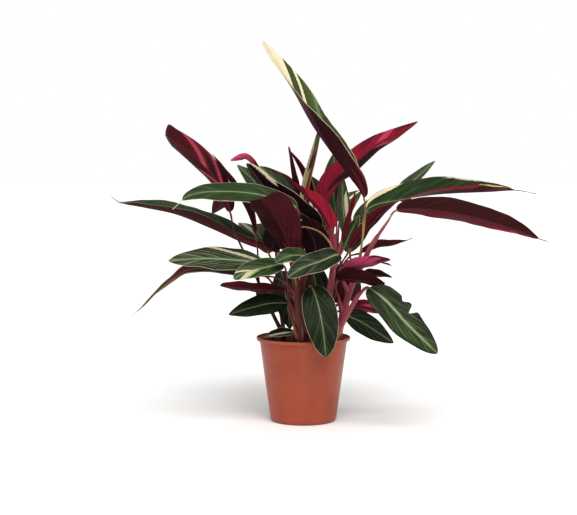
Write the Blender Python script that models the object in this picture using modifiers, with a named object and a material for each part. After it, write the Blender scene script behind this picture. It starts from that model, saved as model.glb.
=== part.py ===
"""Stromanthe triostar in a nursery pot: long patterned blades on stalks, canes, soil and pot.

Metres, +Z up.  The origin is the middle of the pot's underside, +X runs to the right of the
plant's best side and that side faces -Y.
"""
import math

import bmesh
import bpy
from mathutils import Vector

MM = 0.001

# pot: a standard 17 cm nursery pot
POT_HEIGHT = 0.153
POT_WALL = 0.0016
POT_FOOT_RADIUS = 0.0535
POT_CORNER = 0.0075
POT_RADIUS_AT_BASE = 0.0593
POT_FLARE = 0.1355
LIP_RADIUS = 0.085
LIP_HEIGHT = 0.006
LIP_ROUND = 0.0012
POT_SEGMENTS = 36
DRAIN_COUNT = 6
DRAIN_RADIUS = 0.004
DRAIN_RING = 0.040
HOLE_SIDES = 12
CORNER_STEPS = 3

# soil
SOIL_BELOW_RIM = 0.012
SOIL_LUMP = 0.0016
SOIL_EDGE_DROP = 0.007
SOIL_RINGS = 5
SOIL_EDGE_SINK = 0.003
GAP = 0.0003
ROOTED_DEPTH = 0.026
STRAIGHT_RISE = 0.006

# stems and blades
CANE_SIDES_RESOLUTION = 2
STALK_SIDES_RESOLUTION = 1
STALK_RADIUS = 0.0026
STALK_TIP_RADIUS = 0.0013
BLADE_THICKNESS = 0.0009
SEAT_GAP = 0.0007
BLADE_BASE_HALF_WIDTH = 0.0016
BLADE_TIP_HALF_WIDTH = 0.0006
TAIL_SPREAD = 0.0045
FOLD_HALF_WIDTH = 0.007
BLADE_ROW_LENGTH = 0.026
BLADE_ROWS_LEAST = 6
BLADE_ROWS_MOST = 14
BLADE_COLUMNS = 4
TORN_BLADE_ROWS = 22
TEAR_LENGTH = 0.035
MARGIN_WAVES = 2.5
MARGIN_SIDE_PHASE = 1.1
CURVE_STEPS = 10

SOIL_TOP = POT_HEIGHT - SOIL_BELOW_RIM

# each shoot: where its cane stands in the soil, the points it rises through (mm),
# and its radius at the soil and at its top (mm)
SHOOTS = {
    "left": ((-35, 5), [(-57, 0, 197), (-75, -10, 238), (-92, -25, 279), (-108, -40, 310)], 4.6, 1.7),
    "centre_left": ((-5, -42), [(-9, -43, 206), (-14, -45, 256), (-21, -48, 290)], 7.4, 5.6),
    "centre": ((3, -20), [(0, -23, 204), (-2, -23, 252), (-3, -20, 310)], 6.8, 4.4),
    "middle": ((34, -6), [(42, -11, 202), (49, -14, 248), (55, -14, 300), (55, -13, 340)], 8.4, 4.4),
    "right": ((62, -8), [(73, -20, 203), (86, -32, 249), (106, -44, 292), (120, -50, 322), (136, -56, 347)],
              7.6, 4.0),
    "far_right": ((55, -34), [(80, -48, 203), (100, -57, 240)], 5.8, 4.0),
    "back_left": ((-35, 42), [(-42, 52, 200), (-48, 58, 250), (-50, 62, 320)], 4.4, 2.6),
    "back": ((8, 52), [(9, 64, 200), (8, 72, 250), (5, 76, 320)], 5.0, 2.8),
    "back_right": ((46, 36), [(54, 46, 200), (60, 54, 250), (64, 58, 320)], 4.4, 2.6),
}

LEAVES = []


def leaf(name, shoot, joint, stalk, blade, width, top, fold=(12,), curl=0, taper=(0.55, 0.85),
         wave=0.05, torn=(), tail=0.0, fused=False):
    """Add one leaf.

    joint is how far up the cane its stalk leaves, from 0 to 1.  stalk and blade are points in mm:
    the blade starts at its own first point.  top is the direction that the green side faces, and
    fold the angle by which each half is raised from flat, both given at even steps from the
    blade's base to its tip.  taper shapes the outline towards the base and towards the tip, wave
    is the ripple of the margin as a share of the half width, torn lists tears as (side, place,
    depth), and tail is the share of the blade's length that is only a thin dry tip.
    A fused leaf is a young one, still joined to its shoot in the shoot's own body.
    """
    LEAVES.append({
        "name": name, "shoot": shoot, "joint": joint, "stalk": stalk, "blade": blade,
        "width": width, "top": top, "fold": fold, "curl": curl, "taper": taper, "wave": wave,
        "torn": torn, "tail": tail, "fused": fused,
    })


# the tall spear and the blades that spread from the crown
leaf("tall_leaf", "right", 0.665, [(102, -50, 320), (107, -60, 365)],
     [(105, -66, 405), (76, -72, 448), (46, -72, 488), (14, -68, 534), (-23, -60, 600), (-72, -50, 679)],
     63, [(0.85, 0.1, 0.5), (0.8, -0.2, 0.55), (0.72, -0.62, 0.4), (0.5, -0.85, 0.3)],
     (66, 60, 42, 14), 8, (0.5, 0.78))
leaf("upper_left_leaf", "left", 0.97, [(-124, -50, 352)],
     [(-130, -50, 380), (-150, -52, 430), (-192, -48, 478), (-238, -34, 511), (-247, -6, 516),
      (-248, 26, 512)],
     46, [(0.45, 0.85, 0.3), (0.45, 0.85, 0.3), (0.95, 0.3, 0.1)], (12,), 20, (0.42, 0.35))
leaf("left_sliver", "left", 0.7, [(-82, -46, 316)],
     [(-86, -49, 342), (-101, -51, 384), (-130, -59, 434), (-160, -67, 482)],
     40, [(0.75, 0.2, 0.6)], (20,), 10, (0.5, 0.9))
leaf("left_long_leaf", "centre_left", 0.9, [(-27, -26, 298)],
     [(-42, -18, 305), (-96, -15, 319), (-160, -24, 348), (-226, -29, 375), (-286, -30, 388),
      (-326, -30, 396), (-343, -30, 408)],
     51, [(0.25, -0.4, 0.88)], (58, 58, 50), 10, (0.5, 0.75), 0.09, tail=0.06)
leaf("green_upper_left_leaf", "centre_left", 0.2, [(-5, -51, 190), (-9, -55, 256), (-13, -62, 330)],
     [(-12, -71, 387), (-74, -80, 411), (-141, -102, 418), (-196, -115, 412), (-226, -118, 388)],
     49, [(0.1, -0.7, 0.7), (0, -0.66, 0.75)], (8,), -18, (0.5, 0.58), tail=0.1)
leaf("centre_big_leaf", "centre_left", 0.86, [(-19, -54, 288)],
     [(-21, -60, 306), (-38, -86, 350), (-57, -110, 384), (-74, -126, 406)],
     78, [(0.15, 0.75, 0.6)], (14,), 14, (0.45, 0.2))
leaf("dark_hook_leaf", "centre", 0.3, [(14, -29, 206), (16, -28, 270), (30, -24, 330)],
     [(30, -26, 352), (-14, -32, 384), (-66, -40, 422), (-101, -44, 466)],
     50, [(0.45, 0.75, 0.45)], (16,), 16, (0.45, 0.6))
leaf("pink_hook_leaf", "centre", 0.99, [(-6, -4, 342)],
     [(-10, 2, 366), (-58, -2, 410), (-80, -8, 445), (-93, -14, 467), (-106, -18, 477),
      (-130, -22, 471)],
     25, [(0.5, 0.55, 0.6), (0.6, 0.5, 0.5), (0.75, 0.3, 0.45), (0.1, 0.95, 0.2)], (14,), 16,
     (0.8, 0.5))
leaf("green_back_left_leaf", "centre", 0.88, [(-14, 12, 338)],
     [(-26, 24, 372), (-72, 22, 417), (-120, 18, 463)],
     46, [(0.4, -0.8, 0.45)], (12,), -10)
leaf("green_upper_middle_leaf", "back", 0.95, [(8, 70, 348)],
     [(7, 64, 376), (-36, 60, 420), (-80, 54, 460)],
     52, [(0.4, -0.8, 0.45)], (14,), -10)
leaf("thin_dark_spear", "back", 0.93, [(0, 50, 350)],
     [(-4, 38, 378), (-19, 36, 434), (-27, 36, 496)],
     32, [(0.9, 0.3, 0.2)], (16,), 10, fused=True)
leaf("thin_red_spear", "middle", 0.93, [(36, 6, 350)],
     [(19, 24, 385), (-1, 30, 443), (-22, 34, 486)],
     32, [(0.85, 0.4, 0.3)], (18,), 10, fused=True)
leaf("new_spear", "centre", 0.97, [(-1, -4, 350)],
     [(-3, 2, 385), (1, 6, 421), (15, 10, 475), (33, 14, 543)],
     32, [(0.1, -1, 0.05)], (60,), 8, (0.3, 0.7), 0, fused=True)
leaf("right_crimson_leaf", "middle", 0.86, [(44, -14, 350)],
     [(33, -12, 384), (51, -6, 431), (93, 4, 466), (131, 12, 497), (169, 20, 518), (207, 25, 541)],
     49, [(-0.35, 0.85, 0.35)], (22,), 10, (0.5, 0.92))
leaf("centre_red_leaf", "middle", 0.76, [(52, -30, 328)],
     [(49, -44, 350), (36, -50, 378), (17, -50, 401), (-3, -46, 417), (-25, -38, 437)],
     34, [(0.5, 0.75, 0.4)], (20,), 10, (0.4, 1.1))
leaf("right_arch_leaf", "right", 0.68, [(104, -40, 330)],
     [(113, -40, 384), (173, -50, 402), (240, -52, 412), (329, -44, 416), (378, -36, 418),
      (413, -30, 412)],
     62, [(0, -0.75, 0.65), (0, -0.45, 0.9), (0, -0.3, 0.95)], (25, 54, 52), 6, (0.5, 0.8), tail=0.13)
leaf("right_dark_leaf", "right", 0.98, [(147, -64, 364)],
     [(161, -74, 384), (220, -82, 386), (299, -80, 372), (370, -68, 351), (408, -58, 336),
      (431, -50, 328)],
     54, [(0.1, 0.75, 0.65)], (14,), 10, (0.5, 0.75), tail=0.07)
leaf("back_right_leaf", "back_right", 0.97, [(100, 56, 360)],
     [(150, 52, 385), (200, 56, 431), (243, 62, 470)],
     30, [(-0.4, -0.7, 0.55)], (14,), 0)
leaf("right_inner_leaf", "right", 0.62, [(86, -24, 285)],
     [(84, -20, 312), (106, -18, 342), (138, -14, 376), (170, -10, 402)],
     27, [(-0.45, 0.8, 0.35)], (18,), 6, (0.5, 0.7))
leaf("thin_right_leaf", "back_right", 0.7, [(84, 20, 296)],
     [(104, 2, 304), (134, 2, 315), (156, 4, 318), (176, 6, 323), (197, 8, 331)],
     34, [(-0.2, 0.5, 0.85)], (18,), 6, (0.5, 0.9), tail=0.12)
leaf("pink_right_leaf", "right", 0.5, [(64, -52, 275)],
     [(70, -62, 284), (92, -72, 287), (122, -76, 293), (152, -72, 298)],
     34, [(0, 0.7, 0.7)], (14,), 10)
leaf("dark_right_leaf", "right", 0.347, [(56, -44, 248)],
     [(61, -57, 259), (88, -76, 263), (141, -100, 258)],
     52, [(0, 0.65, 0.75)], (12,), 12)
leaf("small_right_leaf", "right", 0.415, [(92, -24, 257)],
     [(104, -18, 263), (128, -22, 266), (158, -30, 263)],
     34, [(0, 0.55, 0.85)], (12,), 12)
leaf("low_right_leaf", "far_right", 0.98, [(106, -62, 246)],
     [(114, -70, 248), (143, -88, 227), (180, -104, 187), (231, -112, 138)],
     69, [(0.35, -0.75, 0.55), (0.35, -0.8, 0.45)], (10,), -14, (0.45, 0.68), 0.05,
     [(-1, 0.34, 0.26), (-1, 0.49, 0.5)])
leaf("low_back_right_leaf", "back_right", 0.35, [(64, 22, 196)],
     [(76, 4, 192), (107, 8, 177), (136, 10, 158), (164, 8, 140)],
     46, [(0.25, -0.8, 0.5)], (8,), -14)
leaf("low_red_right_leaf", "back_right", 0.42, [(70, 36, 210)],
     [(84, 24, 204), (110, 20, 202), (142, 18, 194)],
     38, [(0, 0.7, 0.7)], (12,), 10)
leaf("front_leaf", "centre", 0.55, [(8, -48, 246)],
     [(14, -66, 249), (25, -88, 219), (33, -104, 178), (38, -112, 132)],
     60, [(0, -0.8, 0.6), (0, -0.95, 0.3)], (10,), -14, (0.42, 0.6))
leaf("centre_green_leaf", "middle", 0.28, [(52, -20, 210), (60, -30, 262)],
     [(62, -76, 306), (28, -100, 297), (-4, -112, 286), (-28, -120, 271)],
     44, [(-0.1, -0.8, 0.6)], (12,), -12, (0.45, 0.6))
leaf("middle_green_leaf", "centre", 0.25, [(0, -33, 200), (2, -40, 256)],
     [(6, -66, 300), (-22, -88, 306), (-50, -103, 296)],
     36, [(0, -0.7, 0.7)], (12,), -12, (0.45, 0.6))
leaf("cream_tip_leaf", "centre_left", 0.22, [(-24, -50, 200), (-29, -54, 256)],
     [(-36, -66, 287), (-68, -86, 285), (-97, -98, 279), (-122, -107, 267)],
     42, [(-0.1, -0.75, 0.65)], (12,), -10, (0.45, 0.6))
leaf("striped_left_leaf", "centre_left", 0.4, [(-27, -40, 226), (-44, -44, 274)],
     [(-69, -52, 289), (-113, -68, 296), (-174, -78, 300), (-236, -86, 297)],
     54, [(0, -0.7, 0.72)], (10,), -10, (0.5, 0.7))
leaf("drooping_left_leaf", "centre_left", 0.7, [(-44, -46, 262)],
     [(-81, -50, 268), (-129, -56, 276), (-178, -60, 281), (-209, -64, 277), (-229, -68, 263),
      (-257, -76, 242), (-285, -82, 214), (-302, -85, 199)],
     36, [(0, -0.6, 0.8), (0, -0.5, 0.9), (-0.4, -0.6, 0.7), (-0.5, -0.6, 0.6)], (14,), 0, (0.5, 1.8))
leaf("low_red_left_leaf", "centre_left", 0.62, [(-22, -36, 234)],
     [(-32, -26, 238), (-76, -35, 241), (-120, -44, 246), (-148, -50, 251)],
     34, [(0, 0.6, 0.8)], (12,), 8, (0.5, 0.5))
leaf("low_left_leaf", "centre_left", 0.35, [(-20, -40, 212)],
     [(-28, -38, 217), (-60, -50, 218), (-95, -62, 211), (-132, -72, 201)],
     44, [(0, -0.75, 0.65)], (8,), -12)
leaf("rim_leaf", "centre", 0.2, [(-5, -22, 158)],
     [(-16, -16, 162), (-38, -26, 161), (-68, -44, 158)],
     28, [(0, -0.5, 0.85)], (14,), 6)
leaf("dark_centre_leaf", "middle", 0.69, [(52, -38, 309), (44, -50, 329), (27, -56, 346), (4, -60, 354)],
     [(-12, -58, 353), (-32, -52, 346), (-49, -48, 332), (-58, -45, 313)],
     54, [(0, 0.95, 0.3)], (10,), 10, (0.5, 0.5))
leaf("back_green_leaf", "middle", 0.85, [(60, 10, 340)],
     [(60, 32, 370), (54, 40, 426), (57, 46, 486)],
     42, [(0, -0.9, 0.3)], (16,), -6)
leaf("striped_back_leaf", "middle", 0.74, [(68, 2, 312)],
     [(76, 18, 334), (72, 24, 388), (71, 30, 443)],
     28, [(0.2, -0.9, 0.2)], (20,), 0, fused=True)
leaf("thin_crimson_leaf", "middle", 0.8, [(63, -8, 312)],
     [(68, -4, 326), (79, 0, 368), (95, 8, 418)],
     16, [(0.8, 0.5, 0.2)], (20,), 0, fused=True)
leaf("small_back_leaf", "back", 0.98, [(20, 64, 360)],
     [(30, 58, 384), (22, 60, 417), (14, 60, 442)],
     36, [(0.2, -0.9, 0.3)], (14,), 0, fused=True)

# the far side
leaf("back_left_high_leaf", "back_left", 0.98, [(-60, 74, 345)],
     [(-72, 88, 366), (-106, 124, 394), (-142, 168, 398), (-176, 216, 366)],
     58, [(0.4, -0.3, 0.85)], (14,), -8)
leaf("back_left_middle_leaf", "back_left", 0.7, [(-56, 80, 280)],
     [(-64, 96, 296), (-84, 140, 330), (-100, 214, 344), (-110, 300, 306)],
     58, [(0.1, -0.4, 0.9)], (12,), -8)
leaf("back_left_low_leaf", "back_left", 0.4, [(-50, 70, 222)],
     [(-54, 84, 230), (-64, 120, 228), (-76, 176, 186)],
     48, [(0.1, 0.1, 0.98)], (12,), -8)
leaf("back_middle_left_leaf", "back", 0.9, [(-6, 88, 312)],
     [(-16, 102, 334), (-34, 136, 382), (-58, 190, 420), (-82, 276, 420)],
     60, [(0.1, -0.7, 0.7)], (14,), -8)
leaf("back_middle_leaf", "back", 0.74, [(14, 92, 290)],
     [(20, 104, 306), (26, 136, 350), (32, 190, 382), (36, 286, 372)],
     60, [(0, -0.7, 0.7)], (12,), -8)
leaf("back_middle_low_leaf", "back", 0.45, [(12, 82, 234)],
     [(15, 96, 242), (22, 140, 244), (30, 214, 194)],
     52, [(0, 0.1, 0.98)], (10,), -8)
leaf("back_middle_right_leaf", "back_right", 0.96, [(66, 78, 340)],
     [(68, 92, 356), (76, 124, 386), (88, 178, 408), (100, 258, 396)],
     58, [(-0.1, -0.7, 0.7)], (14,), -8)
leaf("back_right_middle_leaf", "back_right", 0.74, [(74, 76, 284)],
     [(84, 90, 298), (100, 130, 332), (112, 196, 352), (120, 288, 328)],
     58, [(-0.1, -0.4, 0.9)], (12,), -8)
leaf("back_right_low_leaf", "back_right", 0.45, [(64, 62, 230)],
     [(70, 76, 238), (84, 112, 238), (100, 166, 196)],
     48, [(0, 0.1, 0.98)], (10,), -8)
leaf("back_right_high_leaf", "back_right", 0.92, [(80, 70, 328)],
     [(96, 76, 348), (134, 104, 386), (178, 146, 400), (222, 190, 372)],
     56, [(-0.3, -0.3, 0.9)], (14,), -8)
leaf("inner_back_leaf", "back", 0.8, [(24, 66, 286)],
     [(34, 60, 298), (40, 58, 342), (50, 60, 392)],
     36, [(0.1, -0.9, 0.3)], (14,), -6)
leaf("inner_low_leaf", "back_left", 0.66, [(-43, 52, 264)],
     [(-41, 40, 268), (-36, 28, 250), (-29, 8, 205), (-24, -2, 166)],
     47, [(0, -0.85, 0.5)], (10,), -8)
leaf("back_side_right_leaf", "back_right", 0.6, [(80, 66, 262)],
     [(92, 68, 270), (128, 84, 282), (168, 108, 272)],
     44, [(-0.1, -0.1, 0.98)], (12,), -8)
leaf("back_side_left_leaf", "back_left", 0.55, [(-62, 66, 250)],
     [(-74, 68, 258), (-108, 84, 272), (-146, 108, 262)],
     44, [(0.1, -0.1, 0.98)], (12,), -8)
leaf("inner_middle_leaf", "back", 0.55, [(12, 44, 262)],
     [(15, 36, 274), (22, 24, 250), (25, 16, 212)],
     46, [(0, -0.95, 0.3)], (10,), -8, fused=True)
leaf("inner_right_leaf", "back_right", 0.72, [(63, 47, 276)],
     [(66, 38, 278), (70, 28, 258), (68, 19, 234), (65, 13, 211)],
     42, [(0, 0.9, -0.3)], (10,), 8, (0.45, 0.4), fused=True)
leaf("dark_middle_leaf", "centre", 0.72, [(12, -31, 284)],
     [(17, -35, 296), (21, -39, 318), (12, -43, 342), (-6, -44, 364)],
     54, [(0.2, 0.95, 0.2)], (10,), 10, (0.45, 0.5))
leaf("young_green_leaf", "middle", 0.74, [(66, -2, 302)],
     [(74, 0, 316), (85, 0, 342), (101, 2, 372)],
     22, [(0.1, -0.9, 0.4)], (16,), 0, fused=True)


def clear_scene():
    for item in list(bpy.data.objects):
        bpy.data.objects.remove(item, do_unlink=True)
    for group in list(bpy.data.collections):
        bpy.data.collections.remove(group)


def new_collection(name):
    group = bpy.data.collections.new(name)
    bpy.context.scene.collection.children.link(group)
    return group


def material(name, colour, roughness):
    made = bpy.data.materials.new(name)
    made.use_nodes = True
    shader = made.node_tree.nodes["Principled BSDF"]
    shader.inputs["Base Color"].default_value = (*colour, 1.0)
    shader.inputs["Roughness"].default_value = roughness
    shader.inputs["Metallic"].default_value = 0.0
    made.diffuse_color = (*colour, 1.0)
    return made


def smooth_path(knots):
    """Points on one smooth curve through the knots, CURVE_STEPS to each span."""
    ends = [knots[0] * 2 - knots[1]] + knots + [knots[-1] * 2 - knots[-2]]
    points = []
    for before, start, stop, after in zip(ends, ends[1:], ends[2:], ends[3:]):
        span = (stop - start).length
        leave = (stop - before) * (span / ((start - before).length + span))
        arrive = (after - start) * (span / ((after - stop).length + span))
        for step in range(CURVE_STEPS):
            t = step / CURVE_STEPS
            points.append(start * (2 * t**3 - 3 * t**2 + 1) + leave * (t**3 - 2 * t**2 + t)
                          + stop * (3 * t**2 - 2 * t**3) + arrive * (t**3 - t**2))
    points.append(knots[-1])
    return points


def lengths_along(points):
    lengths = [0.0]
    for a, b in zip(points, points[1:]):
        lengths.append(lengths[-1] + (b - a).length)
    return lengths


def point_at(points, lengths, distance):
    """The point and the direction of the path at a distance along it."""
    distance = min(max(distance, 0.0), lengths[-1])
    index = 1
    while index < len(lengths) - 1 and lengths[index] < distance:
        index += 1
    span = lengths[index] - lengths[index - 1]
    share = (distance - lengths[index - 1]) / span
    place = points[index - 1].lerp(points[index], share)
    before = points[max(index - 2, 0)]
    after = points[min(index + 1, len(points) - 1)]
    near = (points[index] - points[index - 1]).normalized()
    wide = (after - before).normalized()
    return place, (near + wide).normalized()


def blend(values, t):
    """A value from an even row of them, at t from 0 to 1."""
    if len(values) == 1:
        return values[0]
    place = min(max(t, 0.0), 1.0) * (len(values) - 1)
    index = min(int(place), len(values) - 2)
    share = place - index
    return values[index] * (1 - share) + values[index + 1] * share


def shade_smooth(mesh):
    mesh.shade_smooth()
    mesh.set_sharp_from_angle(angle=math.radians(40))


def mesh_of(item, name):
    """The item's evaluated mesh, caps welded, as a new object that takes the item's place."""
    graph = bpy.context.evaluated_depsgraph_get()
    mesh = bpy.data.meshes.new_from_object(item.evaluated_get(graph))
    work = bmesh.new()
    work.from_mesh(mesh)
    bmesh.ops.remove_doubles(work, verts=work.verts, dist=0.00001)
    work.to_mesh(mesh)
    work.free()
    place = item.matrix_world.copy()
    group = item.users_collection[0]
    bpy.data.objects.remove(item, do_unlink=True)
    made = bpy.data.objects.new(name, mesh)
    made.matrix_world = place
    group.objects.link(made)
    return made


def turned(group, name, profile, segments):
    """A solid turned about Z from a profile of (radius, height) that ends on the axis."""
    mesh = bpy.data.meshes.new(name)
    points = [(radius, 0.0, height) for radius, height in profile]
    edges = [(index, index + 1) for index in range(len(points) - 1)]
    mesh.from_pydata(points, edges, [])
    made = bpy.data.objects.new(name, mesh)
    group.objects.link(made)
    screw = made.modifiers.new("turn", "SCREW")
    screw.steps = segments
    screw.render_steps = segments
    screw.use_merge_vertices = True
    screw.merge_threshold = 0.00005
    bpy.context.view_layer.update()
    return mesh_of(made, name)


def hole_cutter(group, name, radius, low, high, place):
    mesh = bpy.data.meshes.new(name)
    work = bmesh.new()
    bmesh.ops.create_cone(work, cap_ends=True, segments=HOLE_SIDES, radius1=radius, radius2=radius,
                          depth=high - low)
    bmesh.ops.translate(work, verts=work.verts, vec=(place[0], place[1], (low + high) / 2))
    work.to_mesh(mesh)
    work.free()
    made = bpy.data.objects.new(name, mesh)
    group.objects.link(made)
    made.hide_render = True
    made.display_type = "WIRE"
    return made


def apply_boolean(item, group, operation):
    """Join to the item, or cut from it, everything in the group, then remove the group's objects."""
    joiner = item.modifiers.new(operation.lower(), "BOOLEAN")
    joiner.operation = operation
    joiner.operand_type = "COLLECTION"
    joiner.collection = group
    joiner.solver = "EXACT"
    bpy.context.view_layer.update()
    graph = bpy.context.evaluated_depsgraph_get()
    mesh = bpy.data.meshes.new_from_object(item.evaluated_get(graph))
    item.modifiers.clear()
    item.data = mesh
    mesh.name = item.name
    for other in list(group.objects):
        bpy.data.objects.remove(other, do_unlink=True)


def pot_outer_radius(height):
    return POT_RADIUS_AT_BASE + POT_FLARE * height


def build_pot(plant, cutters, finish):
    top = POT_HEIGHT
    under_lip = top - LIP_HEIGHT
    inner_lip = LIP_RADIUS - POT_WALL - LIP_ROUND
    corner = pot_outer_radius(POT_CORNER)
    profile = [
        (0.0, POT_WALL),
        (POT_FOOT_RADIUS - POT_WALL / 2, POT_WALL),
        (corner - POT_WALL, POT_CORNER + POT_WALL / 2),
        (pot_outer_radius(under_lip) - POT_WALL, under_lip - POT_WALL / 2),
        (inner_lip, under_lip + POT_WALL),
        (inner_lip + LIP_ROUND / 2, top - LIP_ROUND / 2),
        (LIP_RADIUS - LIP_ROUND, top),
        (LIP_RADIUS - LIP_ROUND / 3, top - LIP_ROUND / 3),
        (LIP_RADIUS, top - LIP_ROUND),
        (LIP_RADIUS - LIP_ROUND / 3, under_lip),
        (pot_outer_radius(under_lip), under_lip),
    ]
    for step in range(CORNER_STEPS + 1):
        angle = math.radians(90) * step / CORNER_STEPS
        profile.append((POT_FOOT_RADIUS + (corner - POT_FOOT_RADIUS) * math.cos(angle),
                        POT_CORNER * (1 - math.sin(angle))))
    profile.append((0.0, 0.0))
    pot = turned(plant, "pot", profile, POT_SEGMENTS)
    for index in range(DRAIN_COUNT):
        angle = math.tau * index / DRAIN_COUNT
        place = (DRAIN_RING * math.cos(angle), DRAIN_RING * math.sin(angle))
        hole_cutter(cutters, "drain", DRAIN_RADIUS, -POT_WALL, 3 * POT_WALL, place)
    apply_boolean(pot, cutters, "DIFFERENCE")
    pot.data.materials.clear()
    pot.data.materials.append(finish)
    shade_smooth(pot.data)
    return pot


def soil_height(x, y):
    """The lumpy top of the soil, which sinks a little towards the pot's wall."""
    lumps = math.sin(x * 210 + 1.3) * math.cos(y * 190 - 0.6) + 0.6 * math.sin(x * 95 - y * 130)
    return SOIL_TOP + SOIL_LUMP * lumps - SOIL_EDGE_SINK * (math.hypot(x, y) / LIP_RADIUS) ** 4


def build_soil(plant, cutters, finish):
    side = pot_outer_radius(SOIL_TOP - SOIL_EDGE_DROP) - POT_WALL - GAP
    floor = POT_WALL + GAP
    profile = [(side * step / SOIL_RINGS, SOIL_TOP) for step in range(SOIL_RINGS + 1)]
    profile.append((pot_outer_radius(POT_CORNER) - POT_WALL - GAP, POT_CORNER + POT_WALL))
    profile.append((POT_FOOT_RADIUS - POT_WALL - GAP, floor))
    profile.append((0.0, floor))
    soil = turned(plant, "soil", profile, POT_SEGMENTS)
    for vertex in soil.data.vertices:
        if vertex.co.z > SOIL_TOP - GAP:
            vertex.co.z = soil_height(vertex.co.x, vertex.co.y)
    for name, (foot, _, radius, _) in SHOOTS.items():
        place = (foot[0] * MM, foot[1] * MM)
        hole_cutter(cutters, name + "_hole", radius * MM + 2 * GAP, SOIL_TOP - ROOTED_DEPTH - GAP,
                    SOIL_TOP + ROOTED_DEPTH, place)
    apply_boolean(soil, cutters, "DIFFERENCE")
    soil.data.materials.clear()
    soil.data.materials.append(finish)
    shade_smooth(soil.data)
    return soil


def cane_path(shoot):
    foot, rises, _, _ = SHOOTS[shoot]
    knots = [Vector((foot[0] * MM, foot[1] * MM, SOIL_TOP - ROOTED_DEPTH)),
             Vector((foot[0] * MM, foot[1] * MM, SOIL_TOP + STRAIGHT_RISE))]
    knots += [Vector(rise) * MM for rise in rises]
    return smooth_path(knots)


def leaf_path(item):
    """The stalk's points and the blade's points, on one smooth curve."""
    cane = cane_path(item["shoot"])
    lengths = lengths_along(cane)
    start, _ = point_at(cane, lengths, lengths[-1] * item["joint"])
    knots = [start] + [Vector(point) * MM for point in item["stalk"] + item["blade"]]
    points = smooth_path(knots)
    seat = (len(item["stalk"]) + 1) * CURVE_STEPS
    return points[:seat + 1], points[seat:]


def tube(group, name, points, start_radius, end_radius, pieces, resolution, foot=0.0):
    """A tapered tube along a path, in pieces of even length after a straight foot, if it has one."""
    lengths = lengths_along(points)
    even = pieces - 1 if foot else pieces
    distances = [0.0] if foot else []
    distances += [foot + (lengths[-1] - foot) * step / even for step in range(even + 1)]
    data = bpy.data.curves.new(name, "CURVE")
    data.dimensions = "3D"
    data.bevel_depth = 1.0
    data.bevel_resolution = resolution
    data.use_fill_caps = True
    spline = data.splines.new("POLY")
    spline.points.add(pieces)
    for index, distance in enumerate(distances):
        place, _ = point_at(points, lengths, distance)
        spline.points[index].co = (*place, 1.0)
        spline.points[index].radius = start_radius + (end_radius - start_radius) * index / pieces
    made = bpy.data.objects.new(name, data)
    group.objects.link(made)
    bpy.context.view_layer.update()
    return mesh_of(made, name)


def build_shoot(plant, cutters, shoot, finish):
    """One cane with the stalks of all its leaves, as one body."""
    _, rises, radius, top_radius = SHOOTS[shoot]
    cane = tube(plant, shoot + "_stems", cane_path(shoot), radius * MM, top_radius * MM, 2 * len(rises) + 1,
                CANE_SIDES_RESOLUTION, ROOTED_DEPTH + STRAIGHT_RISE)
    for item in LEAVES:
        if item["shoot"] != shoot:
            continue
        stalk, midrib = leaf_path(item)
        pieces = 2 * (len(item["stalk"]) + 1)
        if item["fused"]:
            build_blade(cutters, item, finish, finish)
            stalk = stalk + midrib[1:CURVE_STEPS // 2]
        tube(cutters, item["name"] + "_stalk", stalk, STALK_RADIUS, STALK_TIP_RADIUS, pieces,
             STALK_SIDES_RESOLUTION)
    apply_boolean(cane, cutters, "UNION")
    cane.data.materials.clear()
    cane.data.materials.append(finish)
    shade_smooth(cane.data)
    return cane


def half_width(item, t, side):
    """Half the blade's width at t from base to tip."""
    low, high = item["taper"]
    peak = low / (low + high)
    body = min(t / (1 - item["tail"]), 1.0)
    shape = (body**low * (1 - body)**high) / (peak**low * (1 - peak)**high)
    least = BLADE_BASE_HALF_WIDTH + (BLADE_TIP_HALF_WIDTH - BLADE_BASE_HALF_WIDTH) * t
    least += TAIL_SPREAD * item["tail"] * math.sin(math.pi * t)
    width = least + (item["width"] * MM / 2 - least) * shape
    for torn_side, place, depth in item["torn"]:
        if torn_side == side:
            width *= 1 - depth * math.exp(-((t - place) / TEAR_LENGTH) ** 2)
    return width


def blade_point(item, points, lengths, t, across):
    """A point of the blade: t runs from base to tip, across from -1 to 1 between the margins."""
    place, along = point_at(points, lengths, SEAT_GAP + (lengths[-1] - SEAT_GAP) * t)
    top = blend([Vector(value) for value in item["top"]], t)
    top = (top - along * top.dot(along)).normalized()
    sideways = along.cross(top)
    side = 1 if across >= 0 else -1
    half = half_width(item, t, side)
    reach = half * abs(across)
    folded = blend(item["fold"], t) * min(half / FOLD_HALF_WIDTH, 1.0)
    raised = math.radians(folded + item["curl"] * abs(across) / 2)
    phase = math.tau * MARGIN_WAVES * t + MARGIN_SIDE_PHASE * side + len(item["name"])
    ripple = item["wave"] * half * across * across * math.sin(phase)
    return (place + sideways * (side * reach * math.cos(raised))
            + top * (reach * math.sin(raised) + ripple))


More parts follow.
